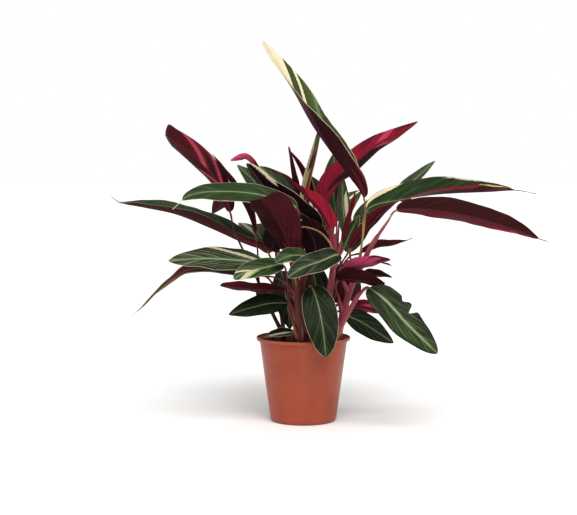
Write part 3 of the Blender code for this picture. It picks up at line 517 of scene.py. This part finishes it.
leaf("middle_green_leaf", "centre", 0.25, [(0, -33, 200), (2, -40, 256)], [(6, -66, 300), (-22, -88, 306),
    (-50, -103, 296)], 36, [(0, -0.7, 0.7)], curl=-12, taper=(0.45, 0.6), feather=0.6,
    marks=[("top", "pale", -1, 0.1, 0.5, 0.85)])
leaf("cream_tip_leaf", "centre_left", 0.22, [(-24, -50, 200), (-29, -54, 256)], [(-36, -66, 287),
    (-68, -86, 285), (-97, -98, 279), (-122, -107, 267)], 42, [(-0.1, -0.75, 0.65)], curl=-10,
    taper=(0.45, 0.6), feather=0.8, streak=0.15, marks=[("top", "pale", -1, 0.5, 0.72),
    ("top", "pale", 1, 0.62, 0.7), ("top", "lime", -1, 0.4, 0.47, 0.1)])
leaf("striped_left_leaf", "centre_left", 0.4, [(-27, -40, 226), (-44, -44, 274)], [(-69, -52, 289),
    (-113, -68, 296), (-174, -78, 300), (-236, -86, 297)], 54, [(0, -0.7, 0.72)], fold=(10,), curl=-10,
    taper=(0.5, 0.7), green="dark", stem="dark", feather=1.35, streak=0.2, lean=3.2,
    marks=[("top", "pale", 1, -0.08, 0.06, 0.15)])
leaf("drooping_left_leaf", "centre_left", 0.7, [(-44, -46, 262)], [(-81, -50, 268), (-129, -56, 276),
    (-178, -60, 281), (-209, -64, 277), (-229, -68, 263), (-257, -76, 242), (-285, -82, 214),
    (-302, -85, 199)], 36, [(0, -0.6, 0.8), (0, -0.5, 0.9), (-0.4, -0.6, 0.7), (-0.5, -0.6, 0.6)],
    fold=(14,), curl=0, taper=(0.5, 1.8), streak=0.0, blush=0.2, marks=[("both", "wine", 0, 0.34, 0.62),
    ("both", "brown", 0, 0.62, 0.93), ("top", "pale", -1, -0.3, 0.7, 0.78), ("both", "pale", 0, 0.95, 1.3)])
leaf("low_red_left_leaf", "centre_left", 0.62, [(-22, -36, 234)], [(-32, -26, 238), (-76, -35, 241),
    (-120, -44, 246), (-148, -50, 251)], 34, [(0, 0.6, 0.8)], curl=8, taper=(0.5, 0.5), edge="wine",
    marks=[("under", "wine", 0, 0.5, 0.9, 0.5)])
leaf("low_left_leaf", "centre_left", 0.35, [(-20, -40, 212)], [(-28, -38, 217), (-60, -50, 218),
    (-95, -62, 211), (-132, -72, 201)], 44, [(0, -0.75, 0.65)], fold=(8,), curl=-12, green="dark",
    under="plum", stem="dark", feather=0.15, streak=0.03, edge="dark")
leaf("rim_leaf", "centre", 0.2, [(-5, -22, 158)], [(-16, -16, 162), (-38, -26, 161), (-68, -44, 158)], 28,
    [(0, -0.5, 0.85)], fold=(14,), curl=6, green="dark", under="plum", stem="dark", feather=0.2,
    marks=[("top", "pale", 0, -0.2, 0.9, 0, 0.22)])
# painted shade: its underside is near-black, darker than the burgundy undersides, for the shade it lies in
leaf("dark_centre_leaf", "middle", 0.69, [(52, -38, 309), (44, -50, 329), (27, -56, 346), (4, -60, 354)],
    [(-12, -58, 353), (-32, -52, 346), (-49, -48, 332), (-58, -45, 313)], 54, [(0, 0.95, 0.3)], fold=(10,),
    curl=10, taper=(0.5, 0.5), under="black", stem="straw", edge="plum")
leaf("back_green_leaf", "middle", 0.85, [(60, 10, 340)], [(60, 32, 370), (54, 40, 426), (57, 46, 486)], 42,
    [(0, -0.9, 0.3)], fold=(16,), curl=-6, green="grey", feather=0.6, streak=0.2, edge="cream")
leaf("striped_back_leaf", "middle", 0.74, [(68, 2, 312)], [(76, 18, 334), (72, 24, 388), (71, 30, 443)], 28,
    [(0.2, -0.9, 0.2)], fold=(20,), curl=0, young=True, green="grey", feather=0.8, streak=0.5, edge="rose",
    marks=[("top", "cream", 1, 0.0, 0.6, 0.2, 0.7)])
leaf("thin_crimson_leaf", "middle", 0.8, [(63, -8, 312)], [(68, -4, 326), (79, 0, 368), (95, 8, 418)], 16,
    [(0.8, 0.5, 0.2)], fold=(20,), curl=0, young=True, under="wine", feather=0.2, streak=0.0,
    edge="crimson")
leaf("small_back_leaf", "back", 0.98, [(20, 64, 360)], [(30, 58, 384), (22, 60, 417), (14, 60, 442)], 36,
    [(0.2, -0.9, 0.3)], fold=(14,), curl=0, young=True, green="mid", feather=0.4, streak=0.2, edge="cream",
    marks=[("top", "cream", -1, 0.3, 0.7, 0.3)])
leaf("back_left_high_leaf", "back_left", 0.98, [(-60, 74, 345)], [(-72, 88, 366), (-106, 124, 394),
    (-142, 168, 398), (-176, 216, 366)], 58, [(0.4, -0.3, 0.85)], fold=(14,), feather=0.5, streak=0.2,
    edge="cream", marks=[("top", "cream", 1, 0.3, 0.42), ("top", "butter", -1, 0.5, 0.58, 0.2)])
leaf("back_left_middle_leaf", "back_left", 0.7, [(-56, 80, 280)], [(-64, 96, 296), (-84, 140, 330),
    (-100, 214, 344), (-110, 300, 306)], 58, [(0.1, -0.4, 0.9)], green="mid", under="wine", feather=0.6,
    streak=0.25, marks=[("top", "cream", -1, 0.15, 0.3, 0.3), ("top", "cream", 0, 0.7, 1.3, 0.2)])
leaf("back_left_low_leaf", "back_left", 0.4, [(-50, 70, 222)], [(-54, 84, 230), (-64, 120, 228),
    (-76, 176, 186)], 48, [(0.1, 0.1, 0.98)], feather=0.4)
leaf("back_middle_left_leaf", "back", 0.9, [(-6, 88, 312)], [(-16, 102, 334), (-34, 136, 382),
    (-58, 190, 420), (-82, 276, 420)], 60, [(0.1, -0.7, 0.7)], fold=(14,), feather=0.6, streak=0.2,
    edge="cream", marks=[("top", "cream", 1, 0.45, 0.6), ("top", "lime", 1, 0.6, 0.66),
    ("top", "cream", -1, 0.2, 0.26, 0.2)])
leaf("back_middle_leaf", "back", 0.74, [(14, 92, 290)], [(20, 104, 306), (26, 136, 350), (32, 190, 382),
    (36, 286, 372)], 60, [(0, -0.7, 0.7)], green="mid", under="wine", feather=0.5, streak=0.2, edge="cream",
    marks=[("top", "cream", -1, 0.35, 0.55)])
leaf("back_middle_low_leaf", "back", 0.45, [(12, 82, 234)], [(15, 96, 242), (22, 140, 244), (30, 214, 194)],
    52, [(0, 0.1, 0.98)], fold=(10,), feather=0.5, streak=0.15,
    marks=[("top", "butter", 1, 0.4, 0.46, 0.1)])
leaf("back_middle_right_leaf", "back_right", 0.96, [(66, 78, 340)], [(68, 92, 356), (76, 124, 386),
    (88, 178, 408), (100, 258, 396)], 58, [(-0.1, -0.7, 0.7)], fold=(14,), under="wine", stem="rose",
    feather=0.55, streak=0.2, edge="cream", marks=[("top", "cream", 0, 0.68, 1.3),
    ("top", "cream", 1, 0.2, 0.28, 0.1)])
leaf("back_right_middle_leaf", "back_right", 0.74, [(74, 76, 284)], [(84, 90, 298), (100, 130, 332),
    (112, 196, 352), (120, 288, 328)], 58, [(-0.1, -0.4, 0.9)], green="mid", feather=0.6, streak=0.2,
    edge="cream", marks=[("top", "cream", 1, 0.3, 0.5, 0.25), ("top", "lime", -1, 0.5, 0.6, 0.2)])
leaf("back_right_low_leaf", "back_right", 0.45, [(64, 62, 230)], [(70, 76, 238), (84, 112, 238),
    (100, 166, 196)], 48, [(0, 0.1, 0.98)], fold=(10,), feather=0.4)
leaf("back_right_high_leaf", "back_right", 0.92, [(80, 70, 328)], [(96, 76, 348), (134, 104, 386),
    (178, 146, 400), (222, 190, 372)], 56, [(-0.3, -0.3, 0.9)], fold=(14,), feather=0.5, streak=0.2,
    edge="cream", marks=[("top", "butter", -1, 0.3, 0.4)])
leaf("inner_back_leaf", "back", 0.8, [(24, 66, 286)], [(34, 60, 298), (40, 58, 342), (50, 60, 392)], 36,
    [(0.1, -0.9, 0.3)], fold=(14,), curl=-6, green="grey", feather=0.5, streak=0.2, edge="cream")
leaf("inner_low_leaf", "back_left", 0.66, [(-43, 52, 264)], [(-41, 40, 268), (-36, 28, 250), (-29, 8, 205),
    (-24, -2, 166)], 47, [(0, -0.85, 0.5)], fold=(10,), green="dark", under="plum", stem="dark",
    edge="dark")
leaf("back_side_right_leaf", "back_right", 0.6, [(80, 66, 262)], [(92, 68, 270), (128, 84, 282),
    (168, 108, 272)], 44, [(-0.1, -0.1, 0.98)], under="wine", feather=0.4, streak=0.15,
    marks=[("top", "cream", 1, 0.3, 0.4, 0.2)])
leaf("back_side_left_leaf", "back_left", 0.55, [(-62, 66, 250)], [(-74, 68, 258), (-108, 84, 272),
    (-146, 108, 262)], 44, [(0.1, -0.1, 0.98)], feather=0.4, streak=0.15)
leaf("inner_middle_leaf", "back", 0.55, [(12, 44, 262)], [(15, 36, 274), (22, 24, 250), (25, 16, 212)], 46,
    [(0, -0.95, 0.3)], fold=(10,), young=True, green="dark", under="plum", stem="dark", feather=0.2,
    streak=0.0, edge="dark")
leaf("inner_right_leaf", "back_right", 0.72, [(63, 47, 276)], [(66, 38, 278), (70, 28, 258), (68, 19, 234),
    (65, 13, 211)], 42, [(0, 0.9, -0.3)], fold=(10,), curl=8, taper=(0.45, 0.4), young=True, green="dark",
    under="plum", stem="dark", feather=0.2, streak=0.0, edge="burgundy")
# painted shade: its underside is near-black, darker than the burgundy undersides, for the shade it lies in
leaf("dark_middle_leaf", "centre", 0.72, [(12, -31, 284)], [(17, -35, 296), (21, -39, 318), (12, -43, 342),
    (-6, -44, 364)], 54, [(0.2, 0.95, 0.2)], fold=(10,), curl=10, taper=(0.45, 0.5), under="black",
    edge="plum")
leaf("young_green_leaf", "middle", 0.74, [(66, -2, 302)], [(74, 0, 316), (85, 0, 342), (101, 2, 372)], 22,
    [(0.1, -0.9, 0.4)], fold=(16,), curl=0, young=True, feather=0.5)


leafGrain = {  # noise drawn out along the veins: scales along and across, detail, roughness, shift
    "lines": (560.0, 40.0, 2.0, 0.5, 0.0), "fine": (330.0, 46.0, 2.0, 0.5, 4.0),
    "splash": (70.0, 16.0, 4.0, 0.65, 9.0), "topBroad": (130.0, 34.0, 3.0, 0.6, 0.0),
    "underBroad": (120.0, 30.0, 3.0, 0.6, 0.0),
}
leafFaces = {  # the grain of the cells, how light and dark the strands are, and the shine
    "top": dict(cell=260.0, strands=(0.82, 1.12), specular=0.1),
    "under": dict(cell=240.0, strands=(0.8, 1.15), specular=0.05),
}


def leafFinish(name, face):  # the green face, or the burgundy one that is rosy where the leaf is cream
    finish, tree = newFinish(name)
    facts = leafFaces[face]
    vein, rib, margin, cream, ribWidth = (attribute(tree, key) for key in leafNumbers)
    feather, streak, seed = split(tree, attribute(tree, "habit", "Vector"))
    tint, edge, pale, rosy = (attribute(tree, key, "Color") for key in
                              (face + "Tint", "edgeTint", "creamTint", "rosyTint"))

    def drawnOut(key):
        along, across, detail, rough, shift = leafGrain[key]
        return grain(tree, joined(tree, vein * along, rib * across, seed + shift), 1.0, detail, rough)

    lines, fine, broad = (drawnOut(key) for key in ("lines", "fine", face + "Broad"))
    cell = grain(tree, put(tree, "ShaderNodeTexCoord", out="Object"), facts["cell"], 3.0, 0.6)
    colour = shaded(tree, tint, lines.step(0.3, 0.7, *facts["strands"]))
    if face == "top":
        drawn = fine.step(0.5, 0.62) * broad.step(0.35, 0.65, 0.2, 0.9)
        feathered = broad.step(0.55, 0.75).most(drawn) * feather
        light = mixed(tree, feather.step(0.9, 1.3), leafTints["feather"], leafTints["mist"])
        colour = mixed(tree, feathered * margin.step(0.0, 0.004) * 0.62, colour, light)
        streaked = (drawnOut("splash") + streak * 0.42 - 0.86).step(0.0, 0.03)
        patch = (cream + (broad - 0.5) * 0.5).step(0.38, 0.6).most(streaked)
        pale = mixed(tree, broad.step(0.45, 0.8, 0.0, 0.08), pale, leafTints["lime"])
        colour = mixed(tree, patch, colour, pale)
        halo = rib.step(0.0, 0.006, 0.6, 0.0) * feather * broad.step(0.35, 0.65, 0.35, 1.0)
        colour = mixed(tree, halo, colour, leafTints["feather"])
        ribbed = (rib - ribWidth - (broad - 0.5) * 0.0006).step(-0.0004, 0.0004, 1.0, 0.0)
        ribbed = ribbed * (feather * 0.45 + 0.3) * (margin + rib).step(0.003, 0.007)
        colour = mixed(tree, ribbed, colour, leafTints["midrib"])
        hem = (margin - broad * 0.0016).step(-0.0006, 0.0003, 0.75, 0.0)  # it comes and goes
    else:
        colour = shaded(tree, colour, broad.step(0.3, 0.75, 0.8, 1.25) * fine.step(0.35, 0.7, 0.9, 1.15))
        colour = mixed(tree, (cream + (broad - 0.5) * 0.7).step(0.4, 0.6, 0.0, 0.85), colour, rosy)
        ribbed = (rib - ribWidth).step(-0.0003, 0.0004, 0.3, 0.0)
        colour = mixed(tree, ribbed, colour, mixed(tree, 0.5, tint, rosy))
        hem = (margin - broad * 0.0014).step(-0.0005, 0.0003, 0.65, 0.0)
    colour = mixed(tree, hem, colour, edge)
    relief = (lines * 0.7 + cell * 0.25, 0.35, 0.0003)
    return dress(finish, colour, cell.step(0.3, 0.7, 0.4, 0.52), relief, facts["specular"], leafMake["glow"])


def halfWidth(leaf, t, side):
    low, high = leaf["taper"]
    peak = low / (low + high)
    body = min(t / (1 - leaf["tail"]), 1.0)  # past the body only a thin dry tip goes on
    shape = (body**low * max(1 - body, 0.0)**high) / (peak**low * (1 - peak)**high)
    least = leafMake["baseHalf"] + (leafMake["tipHalf"] - leafMake["baseHalf"]) * t
    least += leafMake["tailSpread"] * leaf["tail"] * math.sin(math.pi * t)
    width = least + (leaf["width"] * mm / 2 - least) * shape
    for tornSide, place, depth in leaf["torn"]:
        if tornSide == side:
            width *= 1 - depth * math.exp(-((t - place) / leafMake["tear"]) ** 2)
    return width


def leafCurve(leaf):  # the stalk's points and the blade's points
    cane = caneCurve(leaf["shoot"])
    lengths = lengthsOf(cane)
    start, _ = pointAt(cane, lengths, lengths[-1] * leaf["joint"])
    points = smoothPath([start] + [Vector(point) * mm for point in leaf["stalk"] + leaf["blade"]])
    seat = (len(leaf["stalk"]) + 1) * curveSteps
    return points[:seat + 1], points[seat:]


def markTint(marks, face, base, vein, across, seed):  # a face's colour at a point, from its base and marks
    colour = Vector(leafTints[base][:3])
    side = 1 if across >= 0 else -1
    jitter = leafMake["markJitter"] * noise.noise(Vector((vein * 60, across * 1.5, seed)))
    soft, softAcross = leafMake["markSoft"]
    for where, name, half, start, stop, inner, outer in marks:
        if name in creams or where not in (face, "both") or half not in (0, side):
            continue
        share = band(vein + jitter, start, stop, soft)
        share *= band(abs(across) + jitter, inner - softAcross * (inner == 0), outer + 0.1 * (outer == 1),
                      softAcross)
        colour = colour.lerp(Vector(leafTints[name][:3]), share)
    return (*colour, 1.0)


def creamAt(marks, side, share, across, half, total):  # how far inside the nearest cream patch, and its name
    best = (-1.0, "cream")
    for where, name, halfSide, start, stop, inner, outer in marks:
        if name in creams and where != "under" and halfSide in (0, side):
            inside = min(min(share - start, stop - share) * total, (across - inner) * half + (inner == 0),
                         (outer - across) * half + (outer == 1))
            here = min(max(0.5 + inside / leafMake["patchEdge"], -1.0), 2.0)
            if here > best[0]:
                best = (here, name)
    return best


def buildLeaf(name, leaf, finishes, nodes):
    seed = sum(ord(letter) * (index + 1) for index, letter in enumerate(name)) % 97
    points = leafCurve(leaf)[1]
    lengths = lengthsOf(points)
    total = lengths[-1] - leafMake["seatGap"]
    rows = max(round(total / leafMake["rowLength"]), 24)
    steps = leafMake["columns"]
    acrosses = [-step for step in reversed(steps[1:])] + list(steps)
    marks = [mark + (0, 1)[len(mark) - 5:] for mark in leaf["marks"]]
    tops = [Vector(value) for value in leaf["top"]]
    work = bmesh.new()
    layers = {key: work.verts.layers.float.new(key) for key in leafNumbers}
    for key in ("topTint", "underTint", "edgeTint", "creamTint", "rosyTint"):
        layers[key] = work.verts.layers.float_color.new(key)
    layers["habit"] = work.verts.layers.float_vector.new("habit")
    uv = work.loops.layers.uv.new("UVMap")
    bmesh.ops.create_grid(work, x_segments=len(acrosses) - 1, y_segments=rows, size=1.0, calc_uvs=False)
    frames = {}
    for vert in work.verts:
        signed = acrosses[round((vert.co.x + 1) / 2 * (len(acrosses) - 1))]
        row = round((vert.co.y + 1) / 2 * rows)
        if row not in frames:
            t = row / rows
            t += leafMake["endRows"] * (0.5 - 0.5 * math.cos(math.pi * t) - t)
            place, along = pointAt(points, lengths, leafMake["seatGap"] + total * t)
            top = blended(tops, t)
            top = (top - along * top.dot(along)).normalized()
            frames[row] = (t, place, top, along.cross(top))
        t, place, top, sideways = frames[row]
        side, across = (1 if signed >= 0 else -1), abs(signed)
        half = halfWidth(leaf, t, side)
        reach = half * across
        folded = blended(leaf["fold"], t) * min(half / leafMake["foldHalf"], 1.0)
        raised = math.radians(folded + leaf["curl"] * across / 2)
        turn = math.tau * leafMake["waves"] * t + leafMake["phase"] * side + len(name)
        ripple = leaf["wave"] * half * math.sin(turn)
        ripple += leafMake["unrest"] * noise.noise(Vector((total * t * 38, side * 3.0, seed)))
        vein = total * t - leaf["lean"] * reach * (1 + leafMake["bow"] * across)
        fade = ramp(reach, 0.002, 0.008) * (1 - ramp(across, 0.75, 1.0))
        pleat = leafMake["pleat"] * math.sin(math.tau * vein / leafMake["pleatEvery"]) * fade
        grooved = (1 - t) * (1 - ramp(reach, 0.0, leafMake["grooveReach"])) * min(half / 0.008, 1.0)
        vert.co = (place + sideways * (side * reach * math.cos(raised))
                   + top * (reach * math.sin(raised) + ripple * across * across + pleat
                            - leafMake["groove"] * grooved))
        share = vein / total
        cream, creamName = creamAt(marks, side, share, across, half, total)
        under = markTint(marks, "under", leaf["under"], share, signed, seed)
        rosy = Vector(under).lerp(Vector(leafTints[leaf["rosy"]]), leaf["blush"])
        facts = dict(vein=vein, rib=reach, margin=half - reach, cream=cream,
                     ribWidth=blended(leafMake["ribWidth"], t),
                     topTint=markTint(marks, "top", leaf["green"], share, signed, seed), underTint=under,
                     edgeTint=leafTints[leaf["edge"]], creamTint=leafTints[creamName], rosyTint=rosy,
                     habit=(leaf["feather"], leaf["streak"], seed))
        for key, value in facts.items():
            vert[layers[key]] = value
    for face in work.faces:
        for loop in face.loops:
            loop[uv].uv = (loop.vert[layers["rib"]] * 10, loop.vert[layers["vein"]] * 3)
    piece = finishPiece(work, name, finishes, nodes)
    thicken = piece.modifiers.new("thickness", "SOLIDIFY")
    thicken.thickness = leafMake["thickness"]
    thicken.offset = 0.0
    thicken.material_offset = thicken.material_offset_rim = 1


# the shoots: canes with clasping leaf bases, and a stalk with a small joint under each blade

shoots = {
    "left": dict(foot=(-35, 5), rises=[(-57, 0, 197), (-75, -10, 238), (-92, -25, 279), (-108, -40, 310)],
                 radii=(4.6, 1.7), tint="dark"),
    "centre_left": dict(foot=(-5, -42), rises=[(-9, -43, 206), (-14, -45, 256), (-21, -48, 290)],
                        radii=(7.4, 5.6), tint="brown"),
    "centre": dict(foot=(3, -20), rises=[(0, -23, 204), (-2, -23, 252), (-3, -20, 310)], radii=(6.8, 4.4),
                   tint="wine"),
    "middle": dict(foot=(34, -6), rises=[(42, -11, 202), (49, -14, 248), (55, -14, 300), (55, -13, 340)],
                   radii=(8.4, 4.4), tint="rose"),
    "right": dict(foot=(62, -8), rises=[(73, -20, 203), (86, -32, 249), (106, -44, 292), (120, -50, 322),
                                        (136, -56, 347)], radii=(7.6, 4.0), tint="rose"),
    "far_right": dict(foot=(55, -34), rises=[(80, -48, 203), (100, -57, 240)], radii=(5.8, 4.0), tint="rose"),
    "back_left": dict(foot=(-35, 42), rises=[(-42, 52, 200), (-48, 58, 250), (-50, 62, 320)],
                      radii=(4.4, 2.6), tint="wine"),
    "back": dict(foot=(8, 52), rises=[(9, 64, 200), (8, 72, 250), (5, 76, 320)], radii=(5.0, 2.8),
                 tint="brown"),
    "back_right": dict(foot=(46, 36), rises=[(54, 46, 200), (60, 54, 250), (64, 58, 320)],
                       radii=(4.4, 2.6), tint="wine"),
}

stemColours = {
    "rose": "#94404a", "wine": "#66202a", "brown": "#70342a", "dark": "#3a1d16", "straw": "#98834a",
    "crimson": "#a2263c", "pith": "#ad8458", "stain": "#5a1a24", "joint": "#80523a",
}
stemTints = {name: colourOf(code) for name, code in stemColours.items()}

stemMake = {
    "rooted": 0.026, "straightRise": 0.006, "caneStep": 0.006, "caneSides": 24, "stalkStep": 0.0035,
    "stalkSides": 12, "clasp": 0.05, "claspShare": 0.62, "stalkRadius": 0.0021, "tipRadius": 0.0014,
    "jointLength": 0.013, "jointSwell": 0.0005, "claspSteps": 8, "claspGrowth": (0.35, 0.75),
    "leaving": 0.035, "slimming": 0.045,
}


def caneCurve(shoot):
    x, y = shoots[shoot]["foot"]
    heights = (soil["top"] - stemMake["rooted"], soil["top"] + stemMake["straightRise"])
    knots = [Vector((x * mm, y * mm, height)) for height in heights]
    return smoothPath(knots + [Vector(rise) * mm for rise in shoots[shoot]["rises"]])


def stemFinish():
    finish, tree = newFinish("stemSkin")
    x, y, z = split(tree, attribute(tree, "around", "Vector"))
    strands = grain(tree, joined(tree, x * 700.0, y * 700.0, z * 14.0), 1.0, 3.0, 0.6)
    flush = grain(tree, joined(tree, x * 160.0, y * 160.0, z * 9.0), 1.0, 2.0, 0.5)
    colour = shaded(tree, attribute(tree, "stemTint", "Color"), strands.step(0.3, 0.7, 0.78, 1.15))
    colour = mixed(tree, flush.step(0.54, 0.68, 0.0, 0.5), colour, stemTints["pith"])
    colour = mixed(tree, flush.step(0.34, 0.46, 0.55, 0.0), colour, stemTints["stain"])
    return dress(finish, colour, 0.45, (strands, 0.4, 0.0004), 0.2)


def sweepTube(work, layer, stations, sides):
    # stations are (place, direction, radius, distance); a circle is extruded from each one to the next
    made, turn = [], Matrix()
    for place, along, radius, distance in stations:
        bend = aim.rotation_difference(along) if made else along.to_track_quat("Z", "Y")
        turn = bend.to_matrix().to_4x4() @ turn
        frameNext = Matrix.Translation(place) @ turn @ Matrix.Diagonal((radius, radius, radius, 1))
        if made:
            grown = bmesh.ops.extrude_edge_only(work, edges=edges)["geom"]
            ring = [part for part in grown if isinstance(part, bmesh.types.BMVert)]
            bmesh.ops.transform(work, matrix=frameNext @ frameNow.inverted(), verts=ring)
        else:
            ring = bmesh.ops.create_circle(work, segments=sides, radius=1.0, matrix=frameNext)["verts"]
        inRing = set(ring)
        edges = list({edge for vert in ring for edge in vert.link_edges if edge.other_vert(vert) in inRing})
        if not made:
            bmesh.ops.edgeloop_fill(work, edges=edges)
        for vert in ring:  # remember where each point is on the tube
            local = frameNext.inverted() @ vert.co
            vert[layer] = (local.x * radius, local.y * radius, distance)
        made += ring
        frameNow, aim = frameNext, along
    bmesh.ops.edgeloop_fill(work, edges=edges)
    bmesh.ops.recalc_face_normals(work, faces=list({face for vert in made for face in vert.link_faces}))
    return made


def stalkPath(leaf, cane, lengths, caneRadius, clasp):
    # the clasping base up the side of the cane, the stalk, and the small joint that holds the blade
    stalk, blade = leafCurve(leaf)
    reach, bladeLengths = lengthsOf(stalk), lengthsOf(blade)
    start = lengths[-1] * leaf["joint"]
    joint, up = pointAt(cane, lengths, start)
    away = pointAt(stalk, reach, 0.03)[0] - joint
    away = (away - up * away.dot(up)).normalized() * (caneRadius * stemMake["claspShare"])
    path, radii = [], []
    for step in range(stemMake["claspSteps"]):
        share = step / stemMake["claspSteps"]
        path.append(pointAt(cane, lengths, start - clasp * (1 - share))[0] + away * share)
        radii.append(caneRadius * blended(stemMake["claspGrowth"], share))
    count = max(round(reach[-1] / stemMake["stalkStep"]), 8)
    for share in (step / count for step in range(count + 1)):
        distance = reach[-1] * share
        leaving = 1 - ramp(distance, 0.0, stemMake["leaving"])
        path.append(pointAt(stalk, reach, distance)[0] + away * leaving)
        slim = blended((stemMake["stalkRadius"], stemMake["tipRadius"]), share)
        grown = max(caneRadius * stemMake["claspGrowth"][1], slim)
        radius = slim + (grown - slim) * (1 - ramp(distance, 0.0, stemMake["slimming"]))
        swell = band(reach[-1] - distance, -0.01, stemMake["jointLength"], 0.002)
        radii.append(radius + stemMake["jointSwell"] * swell)
    for distance in (0.0015, 0.003):
        path.append(pointAt(blade, bladeLengths, distance)[0])
        radii.append(stemMake["tipRadius"] * (1.0 - 120 * distance))
    return path, radii


def buildShoot(shoot, finish):
    facts = shoots[shoot]
    cane = caneCurve(shoot)
    lengths = lengthsOf(cane)
    low, high = (radius * mm for radius in facts["radii"])
    work = bmesh.new()
    around = work.verts.layers.float_vector.new("around")
    tint = work.verts.layers.float_color.new("stemTint")
    uv = work.loops.layers.uv.new("UVMap")
    stations = []
    count = round(lengths[-1] / stemMake["caneStep"])
    for share in (step / count for step in range(count + 1)):
        radius = (low + (high - low) * share) * (1 - 0.45 * ramp(share, 0.94, 1.0))
        stations.append((*pointAt(cane, lengths, lengths[-1] * share), radius, lengths[-1] * share))
    for vert in sweepTube(work, around, stations, stemMake["caneSides"]):
        vert[tint] = stemTints[facts["tint"]]
    for leaf in (leaf for leaf in leafPieces.values() if leaf["shoot"] == shoot):
        clasp = min(stemMake["clasp"], lengths[-1] * leaf["joint"] - stemMake["rooted"] - 0.012)
        path, radii = stalkPath(leaf, cane, lengths, low + (high - low) * leaf["joint"], clasp)
        distances = lengthsOf(path)
        aims = [(after - before).normalized() for before, after in zip(path[:1] + path, path[1:] + path[-1:])]
        for vert in sweepTube(work, around, list(zip(path, aims, radii, distances)), stemMake["stalkSides"]):
            distance = vert[around].z
            colour = Vector(stemTints[facts["tint"]]).lerp(Vector(stemTints[leaf["stem"]]),
                                                           ramp(distance, clasp, clasp + 0.07))
            knee = 0.6 * ramp(distance, distances[-1] - 0.017, distances[-1] - 0.012)
            vert[tint] = colour.lerp(Vector(stemTints["joint"]), knee)
    for face in work.faces:
        for loop in face.loops:
            loop[uv].uv = (loop.vert[around].x * 100, loop.vert[around].z * 10)
    finishPiece(work, shoot + "Shoot", [finish], [shoot + "_stems"])


buildPot()
earth = soilFinish()
buildSoil(earth)
buildCrumbs(earth, [(s["foot"][0] * mm, s["foot"][1] * mm, s["radii"][0] * mm) for s in shoots.values()])

leafFinishes = [leafFinish("leafTop", "top"), leafFinish("leafUnderside", "under")]
for leafName, leafFacts in leafPieces.items():
    if leafFacts["young"]:  # a young blade still belongs to its shoot
        buildLeaf(leafName, leafFacts, leafFinishes, [leafFacts["shoot"] + "_stems"])
    else:
        buildLeaf(leafName + "_blade", leafFacts, leafFinishes, [leafName])
print("leaves:", len(leafPieces))

stemSkin = stemFinish()
for shootName in shoots:
    buildShoot(shootName, stemSkin)
print("shoots:", len(shoots))


# the studio: pale floor, white surroundings, soft lights

studio = {
    "floor": 40.0, "floorColour": "#f2f1ef", "surround": (1.0, 1.0, 1.0, 1.0), "surroundLight": 0.38,
    "lights": {
        "keyLight": dict(azimuth=14, elevation=52, spread=45, strength=2.5),
        "fillLight": dict(azimuth=-40, elevation=40, spread=90, strength=0.5),
        "topLight": dict(azimuth=170, elevation=80, spread=80, strength=0.8),
    },
    "camera": (-0.027, -2.5, 0.485), "pitch": 4.32, "lens": 86.66,
}


def buildStudio():
    work = bmesh.new()
    bmesh.ops.create_grid(work, x_segments=2, y_segments=2, size=studio["floor"] / 2)
    floor = placed("studioFloor", meshOf(work, "studioFloor"))
    paint = newFinish("paleFloor")[0]
    floor.data.materials.append(dress(paint, colourOf(studio["floorColour"]), 0.9, specular=0.2))
    scene = bpy.context.scene
    scene.world = bpy.data.worlds.new("studioSurround")
    scene.world.use_nodes = True
    tree = scene.world.node_tree
    seen = put(tree, "ShaderNodeLightPath", out="Is Camera Ray")  # white behind, dimmer as a light
    sky = tree.nodes["Background"].inputs
    sky["Color"].default_value = studio["surround"]
    tree.links.new(seen.most(studio["surroundLight"]).socket, sky["Strength"])
    for name, facts in studio["lights"].items():
        data = bpy.data.lights.new(name, "SUN")
        data.energy = facts["strength"]
        data.angle = math.radians(facts["spread"])
        lamp = placed(name, data)
        lamp.rotation_euler = (math.radians(90 - facts["elevation"]), 0.0, math.radians(facts["azimuth"]))
    lens = bpy.data.cameras.new("frontView")
    lens.lens = studio["lens"]
    lens.sensor_width = 36.0
    lens.clip_end = 100.0
    scene.camera = placed("frontView", lens)
    scene.camera.location = studio["camera"]
    scene.camera.rotation_euler = (math.radians(90 - studio["pitch"]), 0.0, 0.0)
    scene.view_settings.view_transform = "Standard"


buildStudio()
print("studio ready")
